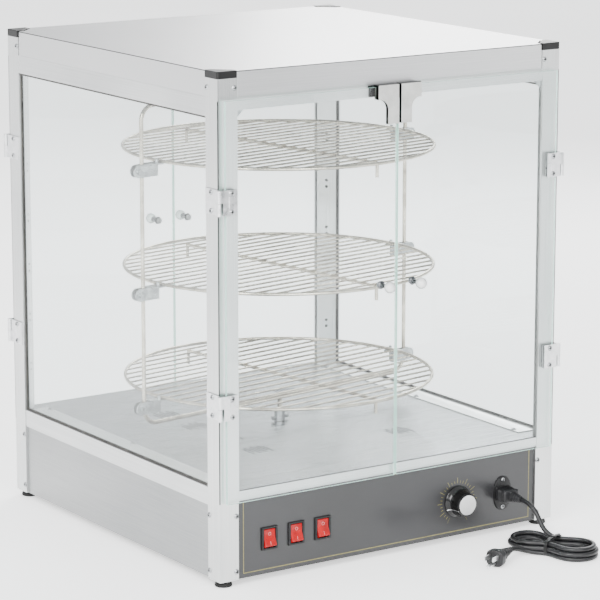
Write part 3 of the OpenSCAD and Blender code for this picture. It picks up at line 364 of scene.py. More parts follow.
def temperedPane(name, faceAxis, faceHex, edgeHex):
    # soda-lime float glass: clear through the face, blue-green along the polished edges;
    # its IOR is below the real 1.52, so that the panes mirror less of the room
    material, shader = startMaterial(name, IOR=1.36, Transmission_Weight=1.0)
    facing = facesAlong(material, faceAxis, 0.8)
    driveInput(material, shader, "Base Color",
               blend(material, facing, linearColour(edgeHex), linearColour(faceHex)))
    # the ground edges scatter light inside the pane, so little passes straight through them
    driveInput(material, shader, "Transmission Weight",
               addNode(material, "ShaderNodeMapRange", {"Value": facing, "To Min": 0.25,
                                                        "To Max": 1.0}).outputs[0])
    film = evenNoise(material, 120, 2.0)
    driveInput(material, shader, "Roughness", spread(material, film.outputs["Fac"], 0.0, 0.03))
    # lamps reach what stands behind the pane
    clear = addNode(material, "ShaderNodeBsdfTransparent", {"Color": linearColour("#f1f7f5")})
    ray = addNode(material, "ShaderNodeLightPath")
    mix = addNode(material, "ShaderNodeMixShader",
                  {0: ray.outputs["Is Shadow Ray"], 1: shader.outputs[0], 2: clear.outputs[0]})
    output = next(n for n in material.node_tree.nodes if n.type == "OUTPUT_MATERIAL")
    material.node_tree.links.new(mix.outputs[0], output.inputs["Surface"])
    return material


sidePane = temperedPane("temperedSidePane", "X", "#fafdfd", "#bfe0d5")
doorPane = temperedPane("temperedDoorPane", "Y", "#fafdfd", "#bfe3d8")


panelInk = {"lineMm": 1.3, "sideMm": 14.5, "bottomMm": 6.0, "topMm": 3.2, "ticks": 36, "firstMm": 26.5,
            "shortMm": 30.5, "longMm": 35.0, "tickMm": 0.7}


def printedPanel(settings):
    # gloss powder coat over steel, screen-printed with a border line and the dial's ticks
    material, shader = startMaterial("screenPrintedPanel", IOR=1.5, Coat_Weight=0.2, Coat_Roughness=0.15)
    low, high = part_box("control_panel")
    dialLow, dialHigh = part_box("thermostat_knob")
    dialX, dialZ = (dialLow[0] + dialHigh[0]) / 2, (dialLow[2] + dialHigh[2]) / 2
    place = axes(material, "Object")
    x, z = place["X"], place["Z"]
    # distance inside a rectangle: the smallest of the four sides' distances
    sides = [calc(material, "SUBTRACT", x, low[0] + settings["sideMm"] * mm),
             calc(material, "SUBTRACT", high[0] - settings["sideMm"] * mm, x),
             calc(material, "SUBTRACT", z, low[2] + settings["bottomMm"] * mm),
             calc(material, "SUBTRACT", high[2] - settings["topMm"] * mm, z)]
    inside = calc(material, "MINIMUM", calc(material, "MINIMUM", sides[0], sides[1]),
                  calc(material, "MINIMUM", sides[2], sides[3]))
    border = between(material, inside, 0.0, settings["lineMm"] * mm)
    # ticks: rays at even angles between two radii, every third one longer
    dx, dz = calc(material, "SUBTRACT", x, dialX), calc(material, "SUBTRACT", z, dialZ)
    radius = calc(material, "SQRT", calc(material, "ADD", calc(material, "MULTIPLY", dx, dx),
                                         calc(material, "MULTIPLY", dz, dz)))
    angle = calc(material, "ARCTAN2", dx, dz)
    ticks = None
    for count, outer in ((settings["ticks"], "shortMm"), (settings["ticks"] // 3, "longMm")):
        step = 2 * math.pi / count
        wide = calc(material, "MULTIPLY", addNode(material, "ShaderNodeMath",
                    {0: angle, 1: step / 2}, operation="PINGPONG").outputs[0], radius)
        near = calc(material, "LESS_THAN", wide, settings["tickMm"] * mm / 2)
        ring = between(material, radius, settings["firstMm"] * mm, settings[outer] * mm)
        mark = calc(material, "MULTIPLY", near, ring)
        ticks = mark if ticks is None else calc(material, "MAXIMUM", ticks, mark)
    # no ticks in the sixth of the circle below the dial
    shown = calc(material, "LESS_THAN", calc(material, "ABSOLUTE", angle), math.radians(150))
    ink = calc(material, "MAXIMUM", border, calc(material, "MULTIPLY", ticks, shown))
    peel = evenNoise(material, 3.5, 2.0)
    tone = evenNoise(material, 160, 2.0)
    coat = ramp(material, tone.outputs["Fac"], "#202021", "#28282a")
    gold = ramp(material, peel.outputs["Fac"], "#676130", "#7b7440")
    driveInput(material, shader, "Base Color", blend(material, ink, coat, gold))
    driveInput(material, shader, "Roughness", spread(material, peel.outputs["Fac"], 0.3, 0.42))
    driveInput(material, shader, "Normal", bump(material, peel.outputs["Fac"], 0.03, 0.4))
    return material


def spunDisc():
    # turned aluminium disc: fine concentric lathe lines, drawn 0.6 mm apart
    material, shader = startMaterial("spunAluminiumDisc", Metallic=1.0)
    low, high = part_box("thermostat_knob")
    middle = [(low[i] + high[i]) / 2 for i in range(3)]
    coords = addNode(material, "ShaderNodeTexCoord")
    mapped = addNode(material, "ShaderNodeMapping",
                     {"Vector": coords.outputs["Object"], "Location": (-middle[0], 0, -middle[2])})
    rings = addNode(material, "ShaderNodeTexWave",
                    {"Vector": mapped.outputs[0], "Scale": 1 / (0.6 * mm) / 6.28, "Distortion": 0.6},
                    wave_type="RINGS", rings_direction="Y")
    colour = ramp(material, rings.outputs["Fac"], "#dadad9", "#f3f3f2", 0.0, 1.0)
    driveInput(material, shader, "Base Color", colour)
    driveInput(material, shader, "Roughness", spread(material, rings.outputs["Fac"], 0.36, 0.5))
    return material


panPaintedShade = mouldedPlastic("underDeckPaintedShade", {  # dull near-black pan under the deck: painted shade below the deck's slots
    "grainMm": 3, "toneMm": 60, "dark": "#0c0c0c", "light": "#1d1c1b", "smooth": 0.5, "rough": 0.7,
    "depthMm": 0.05, "shine": 0.25})
zincSheet, chrome, wireNickel, screwZinc = galvanisedSheet(), chromePlate(), nickelWire(), zincScrew()
bronze, heaterSkin, bulbGlass = bushBronze(), heaterSheath(), frostedBulb()
panelCoat, spunFace = printedPanel(panelInk), spunDisc()
print("finishes made:", len(bpy.data.materials))


def gridFaces(rows, columns, wrapRows=False, wrapColumns=True, first=0):
    # quads between neighbouring points of a rows x columns grid
    r = np.arange(rows if wrapRows else rows - 1)
    c = np.arange(columns if wrapColumns else columns - 1)
    a, b = np.meshgrid(r, c, indexing="ij")
    a2, b2 = (a + 1) % rows, (b + 1) % columns
    return first + np.stack([a * columns + b, a * columns + b2, a2 * columns + b2, a2 * columns + b],
                            -1).reshape(-1, 4)


def basisAlong(direction):
    # three unit vectors, the last one along direction
    d = np.asarray(direction, float)
    d = d / np.linalg.norm(d)
    side = np.cross([0, 0, 1.0] if abs(d[2]) < 0.9 else [1.0, 0, 0], d)
    side /= np.linalg.norm(side)
    return np.stack([side, np.cross(d, side), d])


def turnedShape(origin, direction, profile, steps=32, flute=None, slot=0):
    # a profile of (distance along, radius) carried round the axis; flute scales the radius by angle
    along, radius = np.asarray(profile, float).T
    angle = np.linspace(0, 2 * math.pi, steps, endpoint=False)
    scale = np.ones((len(along), steps)) if flute is None else flute(along[:, None], angle[None, :])
    ring = radius[:, None] * scale
    local = np.stack([ring * np.cos(angle), ring * np.sin(angle), np.repeat(along[:, None], steps, 1)], -1)
    points = np.asarray(origin, float) + local.reshape(-1, 3) @ basisAlong(direction)
    return points, gridFaces(len(along), steps), slot


def sweptShape(path, radii, steps=16, slot=0, flat=1.0):
    # rings square to a path, turned as little as possible from one to the next
    path = np.asarray(path, float)
    ahead = np.gradient(path, axis=0)
    ahead /= np.linalg.norm(ahead, axis=1)[:, None]
    side = np.cross(ahead[0], [0, 0, 1.0] if abs(ahead[0][2]) < 0.9 else [1.0, 0, 0])
    sides = []
    for d in ahead:
        side = side - d * (side @ d)
        side /= np.linalg.norm(side)
        sides.append(side)
    sides = np.array(sides)
    ups = np.cross(ahead, sides)
    angle = np.linspace(0, 2 * math.pi, steps, endpoint=False)
    radii = np.broadcast_to(np.asarray(radii, float), len(path))[:, None, None]
    points = path[:, None] + radii * (np.cos(angle)[None, :, None] * sides[:, None] * flat
                                      + np.sin(angle)[None, :, None] * ups[:, None])
    return points.reshape(-1, 3), gridFaces(len(path), steps), slot


def loftedShape(origin, direction, up, sections, power=4.0, steps=40, slot=0):
    # rounded-square sections (distance, half width, half height) along a direction
    d = np.asarray(direction, float) / np.linalg.norm(direction)
    u = np.asarray(up, float)
    u = u - d * (u @ d)
    u /= np.linalg.norm(u)
    w = np.cross(u, d)
    far, wide, high = np.asarray(sections, float).T
    angle = np.linspace(0, 2 * math.pi, steps, endpoint=False)
    cosine, sine = np.cos(angle), np.sin(angle)
    x = np.sign(cosine) * np.abs(cosine) ** (2 / power)
    y = np.sign(sine) * np.abs(sine) ** (2 / power)
    points = (np.asarray(origin, float) + far[:, None, None] * d
              + wide[:, None, None] * x[None, :, None] * w + high[:, None, None] * y[None, :, None] * u)
    return points.reshape(-1, 3), gridFaces(len(far), steps), slot


def makePiece(name, shapes, materials, body, replaced=(), bevelMm=0.0, smoothDegrees=40):
    # joins shapes into one closed mesh, with normals outwards
    points = np.concatenate([s[0] for s in shapes])
    starts = np.cumsum([0] + [len(s[0]) for s in shapes[:-1]])
    faces = np.concatenate([s[1] + start for s, start in zip(shapes, starts)])
    slots = np.concatenate([np.full(len(s[1]), s[2]) for s in shapes])
    mesh = bpy.data.meshes.new(name)
    mesh.from_pydata(points.tolist(), [], faces.tolist())
    for material in materials:
        mesh.materials.append(material)
    mesh.polygons.foreach_set("material_index", slots)
    sheet = bmesh.new()
    sheet.from_mesh(mesh)
    bmesh.ops.remove_doubles(sheet, verts=sheet.verts, dist=1e-6)
    bmesh.ops.dissolve_degenerate(sheet, edges=sheet.edges, dist=1e-7)
    bmesh.ops.holes_fill(sheet, edges=[e for e in sheet.edges if e.is_boundary])
    bmesh.ops.recalc_face_normals(sheet, faces=sheet.faces)
    sheet.to_mesh(mesh)
    sheet.free()
    return placePiece(name, mesh, body, replaced, bevelMm, smoothDegrees)


def placePiece(name, mesh, body, replaced, bevelMm, smoothDegrees):
    # puts a mesh in the scene, shaded smooth and bevelled, on the body that it rides
    mesh.polygons.foreach_set("use_smooth", np.ones(len(mesh.polygons), bool))
    mesh.set_sharp_from_angle(angle=math.radians(smoothDegrees))
    piece = bpy.data.objects.new(name, mesh)
    bpy.context.scene.collection.objects.link(piece)
    if bevelMm:
        bevel = piece.modifiers.new("edges", "BEVEL")
        bevel.width, bevel.segments = bevelMm * mm, 2
        bevel.limit_method, bevel.angle_limit = "ANGLE", math.radians(40)
        bevel.harden_normals = True
    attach(piece, body)
    if replaced:
        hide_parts(*replaced)
    return piece


bodyOfNode = {node: body for body, nodes in frame["record"]["behaviour"]["bodies"].items() for node in nodes}


def mergedCopy(node):
    # the CAD node's mesh as welded flat faces, in a bmesh
    sheet = bmesh.new()
    sheet.from_mesh(frame["nodes"][node].data)
    bmesh.ops.remove_doubles(sheet, verts=sheet.verts, dist=2e-6)
    return sheet


def finishedCopy(node, name, material, bevelMm=0.35, smoothDegrees=32, proudMm=0.0):
    # a CAD part with its edges broken as a real one's are; proudMm lifts its outermost face along Y
    sheet = mergedCopy(node)
    if proudMm:
        outer = max((v.co.y for v in sheet.verts), key=abs)
        for vert in sheet.verts:
            if abs(vert.co.y - outer) < 0.05 * mm:
                vert.co.y += math.copysign(proudMm * mm, outer)
    bmesh.ops.dissolve_limit(sheet, angle_limit=math.radians(0.6), verts=sheet.verts, edges=sheet.edges)
    mesh = bpy.data.meshes.new(name)
    sheet.to_mesh(mesh)
    sheet.free()
    mesh.materials.clear()
    mesh.materials.append(material)
    return placePiece(name, mesh, bodyOfNode[node], [node], bevelMm, smoothDegrees)


def solidsOf(node):
    # the lowest and highest corner of each separate solid in a node
    sheet = mergedCopy(node)
    left, found = set(sheet.verts), []
    while left:
        todo, group = [next(iter(left))], []
        left.discard(todo[0])
        while todo:
            vert = todo.pop()
            group.append(vert.co)
            for edge in vert.link_edges:
                other = edge.other_vert(vert)
                if other in left:
                    left.discard(other)
                    todo.append(other)
        spots = np.array([tuple(p) for p in group])
        found.append((spots.min(0), spots.max(0)))
    sheet.free()
    return sorted(found, key=lambda b: tuple(np.round(b[0], 4)))


cameraPlace = {"spot": (-2.3111, -3.4813, 1.2121), "headingDegrees": 34.0, "downDegrees": 12.107,
               "lensMm": 175.6}


def placeCamera(settings):
    heading, down = math.radians(settings["headingDegrees"]), math.radians(settings["downDegrees"])
    ahead = Vector((math.sin(heading) * math.cos(down), math.cos(heading) * math.cos(down), -math.sin(down)))
    data = bpy.data.cameras.new("viewCamera")
    data.lens, data.sensor_width = settings["lensMm"], 36.0
    data.clip_start, data.clip_end = 0.1, 200.0
    camera = bpy.data.objects.new("viewCamera", data)
    camera.location = settings["spot"]
    camera.rotation_euler = ahead.to_track_quat("-Z", "Y").to_euler()
    bpy.context.scene.collection.objects.link(camera)
    bpy.context.scene.camera = camera


placeCamera(cameraPlace)


# All in millimetres, as the CAD route is. The hank's turns lie in two and a half layers.
cordPlan = {"diameter": 7.0, "start": (197.0, -329.0, 59.0), "straight": 6.0, "swingRadius": 140.0,
            "swingDegrees": 25.0, "fallRadius": 34.0, "hankCentre": (196.0, -401.0), "hankDegrees": -65.0,
            "halfStraight": 35.0, "foldRadius": 22.6, "pinch": 10.0, "tailRadius": 36.0,
            "tailEndDegrees": 205.0, "plugCentre": (96.5, -405.0, 12.5), "plugToCord": 36.0,
            "turns": 4.545, "wander": 0.25, "smoothing": 16}
# outward step and height of each turn, from the top of the bundle to the table
hankLanes = [(3.5, 16.6), (7.0, 10.5), (0.0, 10.5), (0.0, 3.5), (7.0, 3.5)]


def hankPath(plan, lanes, points=900):
    # a pinched oval wound clockwise; each turn steps over to the next lane as it passes the tie
    half, fold, pinch = plan["halfStraight"], plan["foldRadius"], plan["pinch"]
    s = np.linspace(-half, half, 240, endpoint=False)
    waist = fold - pinch * (1 + np.cos(np.pi * s / half)) / 2
    t = np.linspace(np.pi / 2, -np.pi / 2, 240, endpoint=False)
    oval = np.concatenate([np.stack([s, waist], 1), np.stack([half + fold * np.cos(t), fold * np.sin(t)], 1),
                           np.stack([-s, -waist], 1),
                           np.stack([-half - fold * np.cos(t), -fold * np.sin(t)], 1)])
    oval = np.roll(oval, -120, 0)   # begins behind the tie
    ahead = np.roll(oval, -1, 0) - np.roll(oval, 1, 0)
    ahead /= np.linalg.norm(ahead, axis=1)[:, None]
    outward = np.stack([-ahead[:, 1], ahead[:, 0]], 1)
    step = np.linalg.norm(np.roll(oval, -1, 0) - oval, axis=1)
    far = np.r_[0, np.cumsum(step)] / step.sum()
    turn = np.linspace(0, plan["turns"], points)
    part = turn % 1.0
    closed = [np.r_[v, v[:1]] for v in (oval[:, 0], oval[:, 1], outward[:, 0], outward[:, 1])]
    x, y, nx, ny = (np.interp(part, far, v) for v in closed)
    # ease from one lane to the next over the last sixth of each turn
    whole = np.minimum(turn.astype(int), len(lanes) - 1)
    ease = np.clip((part - 0.82) / 0.18, 0, 1)
    ease = ease * ease * (3 - 2 * ease)
    here = np.array(lanes)[whole]
    there = np.array(lanes)[np.minimum(whole + 1, len(lanes) - 1)]
    lane = here + (there - here) * ease[:, None]
    # turns wander a little, as hand-wound cord does
    wander = plan["wander"] * np.sin(5.3 * turn + 1.1) * np.sin(2 * np.pi * part)
    x, y = x + nx * (lane[:, 0] + wander), y + ny * (lane[:, 0] + wander)
    tilt = math.radians(plan["hankDegrees"])
    return np.stack([plan["hankCentre"][0] + x * math.cos(tilt) - y * math.sin(tilt),
                     plan["hankCentre"][1] + x * math.sin(tilt) + y * math.cos(tilt), lane[:, 1]], 1)


def leadPath(plan, end):
    # level out of the relief, then a fall of two arcs while the plan swings towards the hank
    drop = plan["start"][2] - end[2]
    fall, swing = plan["fallRadius"], plan["swingRadius"]
    run = math.sqrt(4 * fall * drop - drop * drop)
    total = plan["straight"] + swing * math.radians(plan["swingDegrees"])
    p = np.linspace(0, total, 60)
    q = np.clip(p - plan["straight"], 0, None) / swing
    x = plan["start"][0] + swing * (1 - np.cos(q))
    y = plan["start"][1] - np.minimum(p, plan["straight"]) - swing * np.sin(q)
    f = np.clip(p - (total - run), 0, run)
    upper = fall - np.sqrt(np.maximum(fall * fall - f * f, 0))
    lower = drop - (fall - np.sqrt(np.maximum(fall * fall - (run - f) ** 2, 0)))
    return np.stack([x, y, plan["start"][2] - np.where(f < run / 2, upper, lower)], 1)


def tailPath(plan, start, heading):
    # from the hank round one arc and up into the plug, as a cubic curve
    a = math.radians(plan["tailEndDegrees"])
    out = np.array([math.cos(a), math.sin(a), 0.0])
    end = np.array(plan["plugCentre"]) - plan["plugToCord"] * out
    reach = 0.42 * np.linalg.norm(end - start)
    t = np.linspace(0, 1, 40)[:, None]
    return ((1 - t) ** 3 * start + 3 * t * (1 - t) ** 2 * (start + heading * reach)
            + 3 * t * t * (1 - t) * (end - out * reach) + t ** 3 * end)


def smoothed(path, rounds):
    # each point drawn towards the mean of its neighbours, ends held
    path = path.copy()
    for _ in range(rounds):
        path[1:-1] += 0.5 * ((path[:-2] + path[2:]) / 2 - path[1:-1])
    return path


def evenlySpaced(path, gap):
    far = np.r_[0, np.cumsum(np.linalg.norm(np.diff(path, axis=0), axis=1))]
    at = np.linspace(0, far[-1], int(far[-1] / gap) + 1)
    return np.stack([np.interp(at, far, path[:, k]) for k in range(3)], 1)


def wholeCord(plan, lanes):
    hank = hankPath(plan, lanes)
    lead = leadPath(plan, hank[0])
    lead = lead + np.linspace(0, 1, len(lead))[:, None] ** 2 * (hank[0] - lead[-1])
    heading = hank[-1] - hank[-4]
    tail = tailPath(plan, hank[-1], heading / np.linalg.norm(heading))
    path = evenlySpaced(np.concatenate([lead, hank[1:], tail[1:]]), 2.0)
    path = smoothed(path, plan["smoothing"])
    path[:, 2] = np.maximum(path[:, 2], plan["diameter"] / 2 + 0.1)
    return evenlySpaced(path, 3.0) * mm


cordLine = wholeCord(cordPlan, hankLanes)
powerCord = makePiece("powerCord", [sweptShape(cordLine, cordPlan["diameter"] / 2 * mm)], [cordSheath],
                      "case", ["cord_lead", "cord_hank"])

tieBand = {"halfWide": 23.6, "halfHigh": 11.4, "middleUp": 11.6, "wide": 5.0, "thick": 1.1, "power": 3.2}


def hankTie(band, plan):
    # flat strap round the waist of the hank: a rounded oval band, and its buckle on top
    tilt = math.radians(plan["hankDegrees"])
    ahead = np.array([math.cos(tilt), math.sin(tilt), 0.0])
    side = np.array([-ahead[1], ahead[0], 0.0])
    centre = np.array([*plan["hankCentre"], band["middleUp"]])
    angle = np.linspace(0, 2 * math.pi, 72, endpoint=False)
    cosine, sine = np.cos(angle), np.sin(angle)
    u = np.sign(cosine) * np.abs(cosine) ** (2 / band["power"])
    v = np.sign(sine) * np.abs(sine) ** (2 / band["power"])
    corners = [(0, -0.5), (0, 0.5), (1, 0.5), (1, -0.5)]
    rings = []
    for out, along in corners:
        wide, high = band["halfWide"] + out * band["thick"], band["halfHigh"] - 0.3 + out * band["thick"]
        rings.append(centre + u[:, None] * wide * side + v[:, None] * high * np.array([0, 0, 1.0])
                     + along * band["wide"] * ahead)
    strap = np.stack(rings, 1).reshape(-1, 3) * mm, gridFaces(72, 4, True, True), 0
    top = centre + np.array([0, 0, band["halfHigh"] + 0.6])
    buckle = loftedShape((top - ahead * 4) * mm, ahead, (0, 0, 1),
                         np.array([(0, 0.1, 0.1), (0.3, 3.2, 1.3), (1, 3.8, 1.7), (7, 3.8, 1.7),
                                   (7.7, 3.2, 1.3), (8, 0.1, 0.1)]) * mm)
    tongue = loftedShape((top + ahead * 1 + side * 2) * mm, side + 0.05 * ahead, (0, 0, 1),
                         np.array([(0, 0.1, 0.1), (0.2, 2.1, 0.5), (13, 2.1, 0.5), (15, 1.2, 0.4),
                                   (15.3, 0.1, 0.1)]) * mm)
    return makePiece("hankTie", [strap, buckle, tongue], [blackAbs], "case", bevelMm=0.25)


tie = hankTie(tieBand, cordPlan)

connectorShape = {"gripRows": 5, "gripMm": 0.7, "reliefRibs": 5}


def cordConnector(settings):
    # moulded C13 body: shouldered block with a waist for the fingers, then a ribbed relief
    low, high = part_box("cord_connector")
    inletLow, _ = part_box("power_inlet")
    x, z = (low[0] + high[0]) / 2, (low[2] + high[2]) / 2
    face, far = inletLow[1], low[1]
    wide, tall = (high[0] - low[0]) / 2, (high[2] - low[2]) / 2
    length = 22 * mm
    s = np.linspace(0, 1, 40)
    waist = 1 - 0.09 * np.exp(-((s - 0.62) / 0.2) ** 2)
    rounding = np.clip(s / 0.04, 0.0, 1.0) ** 0.5 * np.clip((1 - s) / 0.12, 0.0, 1.0) ** 0.4
    grip = 1 - settings["gripMm"] * mm / wide * (np.sin(s * settings["gripRows"] * 2 * np.pi * 1.3) > 0.55) \
        * (s > 0.35) * (s < 0.85)
    body = loftedShape((x, face, z), (0, -1, 0), (0, 0, 1),
                       np.stack([s * length, wide * waist * grip * (0.75 + 0.25 * rounding),
                                 tall * waist * (0.7 + 0.3 * rounding)], 1), 6.0)
    nose = loftedShape((x, high[1], z), (0, -1, 0), (0, 0, 1),
                       [(0, 10.5 * mm, 6.5 * mm), (1 * mm, 11.5 * mm, 7.6 * mm),
                        (high[1] - face + mm, 11.5 * mm, 7.6 * mm)], 8.0)
    t = np.linspace(0, 1, 60)
    relief = face - length - far
    taper = (8 + (4.4 - 8) * t) * mm
    ribs = 1 - 0.12 * (np.sin(t * settings["reliefRibs"] * 2 * np.pi - 1.2) > 0.5)
    collar = turnedShape((x, face - length + 1.5 * mm, z), (0, -1, 0),
                         np.stack([t * (relief + 1.5 * mm), taper * ribs], 1), 32)
    return makePiece("cordConnector", [body, nose, collar], [plugPvc], "case", ["cord_connector"],
                     smoothDegrees=50)


connector = cordConnector(connectorShape)

plugShape = {"bladeGap": 12.7, "bladeThick": 1.5, "bladeTall": 6.3, "bladeLong": 17.5, "earth": 4.8,
             "earthDown": 7.0, "bodyHalf": 14.0}


def cordPlug(settings, plan):
    # three-pin moulded plug: bell-shaped body with grip ridges, ribbed relief, two blades and an earth pin
    a = math.radians(plan["tailEndDegrees"])
    ahead = np.array([math.cos(a), math.sin(a), 0.0])
    side = np.array([-ahead[1], ahead[0], 0.0])
    up = np.array([0, 0, 1.0])
    centre = np.array(plan["plugCentre"])
    half = settings["bodyHalf"]
    s = np.linspace(0, 1, 44)
    flare = 0.62 + 0.38 * (1 / (1 + np.exp(-(s - 0.42) * 14)))
    lip = np.where(s > 0.93, 1 - 0.12 * ((s - 0.93) / 0.07) ** 2, 1.0) * np.clip(s / 0.05, 0.55, 1.0)
    ridge = 1 - 0.05 * (np.sin(s * 2 * np.pi * 5.5) > 0.4) * (s > 0.12) * (s < 0.5)
    swell = flare * lip * ridge
    body = loftedShape((centre - half * ahead) * mm, ahead, up,
                       np.stack([s * 2 * half, 13 * swell, 12 * swell], 1) * mm, 3.2)
    t = np.linspace(0, 1, 50)
    ribs = 1 - 0.13 * (np.sin(t * 5 * 2 * np.pi) > 0.45)
    relief = turnedShape((centre - half * ahead + 2 * ahead) * mm, -ahead,
                         np.stack([t * 24, (8 + (4.3 - 8) * t) * ribs], 1) * mm, 32)
    blades = []
    for sign in (-1, 1):
        root = centre + (half - 1) * ahead + sign * settings["bladeGap"] / 2 * side + 3.1 * up
        tall, long = settings["bladeTall"] / 2, settings["bladeLong"] + 1
        thin = settings["bladeThick"] / 2
        sections = np.array([(0, thin, tall), (long - 2, thin, tall), (long - 0.7, thin - 0.1, tall - 0.5),
                             (long, 0.3, tall - 1.3)])
        blades.append(loftedShape(root * mm, ahead, up, sections * mm, 12.0, slot=1))
    pinRadius = settings["earth"] / 2
    pin = np.array([(0, pinRadius), (18, pinRadius), (19.8, 2.0), (20.8, 1.2), (21.2, 0.0)]) * mm
    pinRoot = centre + (half - 1) * ahead - settings["earthDown"] * up
    earth = turnedShape(pinRoot * mm, ahead, pin, 24, slot=1)
    return makePiece("cordPlug", [body, relief, *blades, earth], [plugPvc, chrome], "case", ["cord_plug"],
                     smoothDegrees=45)


plug = cordPlug(plugShape, cordPlan)
print("cord and plug made")


edgeWork = {  # node: piece name, finish, edge break in mm
    "corner_posts": ("cornerPosts", anodisedAlongZ, 0.35),
    "corner_caps": ("cornerCaps", blackAbs, 0.8),
    "roof_cover": ("roofCover", roofStainless, 0.4),
    "top_side_rails": ("topSideRails", anodisedAlongY, 0.3),
    "top_cross_rails": ("topCrossRails", anodisedAlongX, 0.3),
    "bottom_side_rails": ("bottomSideRails", anodisedAlongY, 0.3),
    "bottom_cross_rails": ("bottomCrossRails", anodisedAlongX, 0.3),
    "corner_gussets": ("cornerGussets", zincSheet, 0.15),
    "side_panels": ("sidePanels", shadedSideStainless, 0.2),
    "rear_panel": ("rearPanel", stainlessAlongX, 0.2),
    "control_panel": ("controlPanel", panelCoat, 0.2),
    "deck_plate": ("deckPlate", deckStainless, 0.0),
    "side_glasses": ("sideGlasses", sidePane, 0.5),
    "switch_housings": ("switchHousings", blackAbs, 0.35),
    "magnet_catches": ("magnetCatches", blackAbs, 0.3),
    "hub_collar": ("hubCollar", screwZinc, 0.3),
    "shelf_brackets": ("shelfBrackets", zincSheet, 0.25),
}
for node, (name, finish, edge) in edgeWork.items():
    finishedCopy(node, name, finish, edge)
for node, name in {"rack_carrier": "rackCarrier", "shelf_top": "shelfTop", "shelf_middle": "shelfMiddle",
                   "shelf_bottom": "shelfBottom"}.items():
    finishedCopy(node, name, wireNickel, 0.0, 50)


def glassGaskets(coverMm):
    # black strip down the sides and along the bottom; its top run is faced by the rail's own lip
    piece = finishedCopy("glass_gaskets", "glassGaskets", gasketRubber, 0.3)
    piece.data.materials.append(anodisedAlongY)
    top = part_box("glass_gaskets")[1][2]
    for face in piece.data.polygons:
        face.material_index = int(face.center.z > top - coverMm * mm)


glassGaskets(9)
print("frame and rack finished")

hiddenParts = {"ceiling_panel": zincSheet, "base_pan": panPaintedShade, "gear_motor": zincSheet,
               "motor_bracket": zincSheet, "heating_element": heaterSkin, "deck_bush": bronze,
               "oven_lamp": bulbGlass, "thermostat": zincSheet, "hinge_pins": screwZinc,
               "motor_shaft": screwZinc}
for node, finish in hiddenParts.items():
    for materialSlot in frame["nodes"][node].material_slots:
        materialSlot.material = finish


footShape = [(0, 0), (0, 10.5), (0.4, 11.6), (1.2, 12.2), (3.0, 12.0), (5.2, 11.3), (5.6, 10.7), (6.2, 10.6),
             (8.9, 10.5), (9.0, 0)]


def rubberFeet(profile):
    # tapered feet with a relief groove, one under each post
    profile = np.array(profile, float)
    boxes = solidsOf("feet")
    shapes = []
    for low, high in boxes:
        x, y = (low[0] + high[0]) / 2, (low[1] + high[1]) / 2
        shapes.append(turnedShape((x, y, 0), (0, 0, 1), profile * mm, 40))
    return makePiece("rubberFeet", shapes, [footRubber], "case", ["feet"], smoothDegrees=30)


rubberFeet(footShape)


crossRecess = {"halfLong": 2.2, "halfWide": 0.62, "deepMm": 1.0}
recessPaintedShade = mouldedPlastic("shadedRecess", {  # painted shade in the bottom of the cross: dull and dark
    "grainMm": 0.6, "toneMm": 4, "dark": "#1b1b1b", "light": "#343434", "smooth": 0.6, "rough": 0.8,
    "depthMm": 0.01, "shine": 0.2})


def screwHead(origin, outward, radius, height, recess):
    # dome h(r) = height (1 - (r/R)^2.6), lowered inside a cross of two slots
    rings = np.array([0.0, 0.1, 0.2, 0.32, 0.44, 0.56, 0.7, 0.84, 0.94, 1.0]) * radius
    angle = np.linspace(0, 2 * math.pi, 32, endpoint=False)
    r, a = np.meshgrid(rings, angle, indexing="ij")
    x, y = r * np.cos(a), r * np.sin(a)
    dome = height * (1 - (r / radius) ** 2.6 * 0.72)
    long, wide = recess["halfLong"] * mm * radius / 0.00375, recess["halfWide"] * mm * radius / 0.00375
    cross = ((np.abs(x) < wide) & (np.abs(y) < long)) | ((np.abs(y) < wide) & (np.abs(x) < long))
    dome = dome - cross * recess["deepMm"] * mm
    rim = np.stack([radius * np.cos(angle), radius * np.sin(angle), np.full(32, -0.0003)], -1)
    local = np.concatenate([np.stack([x, y, dome], -1), rim[None]])
    points = np.asarray(origin, float) + local.reshape(-1, 3) @ basisAlong(outward)
    faces = gridFaces(len(rings) + 1, 32)
    sunk = np.r_[cross.reshape(-1), np.zeros(32, bool)][faces].sum(1) > 1
    return points, faces, sunk.astype(int)


def caseScrews(recess):
    # one cross-head screw for each in the case; its head is at the wide outer end of its box
    shapes = []
    for low, high in solidsOf("case_screws"):
        size = high - low
        axis = int(np.argmax(size))
        across = np.delete(size, axis).max() / 2
        middle = (low + high) / 2
        outward = np.zeros(3)
        outward[axis] = math.copysign(1, middle[axis])
        headHigh = 0.0022 if across > 0.0033 else 0.0016
        seat = middle.copy()
        seat[axis] = (high[axis] if outward[axis] > 0 else low[axis]) - outward[axis] * headHigh
        shapes.append(screwHead(seat, outward, across, headHigh, recess))
    return makePiece("caseScrews", shapes, [screwZinc, recessPaintedShade], "case", ["case_screws"], smoothDegrees=30)


caseScrews(crossRecess)


# the pairs are for the leaves on the posts, which look along X, and the clamps, which look along Y
hingeScrew = {"radius": 3.7, "high": 2.3, "fromMiddle": 12.5, "fromPostFace": (14.0, 15.0),
              "insideKnuckle": (4.0, 2.0), "plainHeadRadius": 3.9}


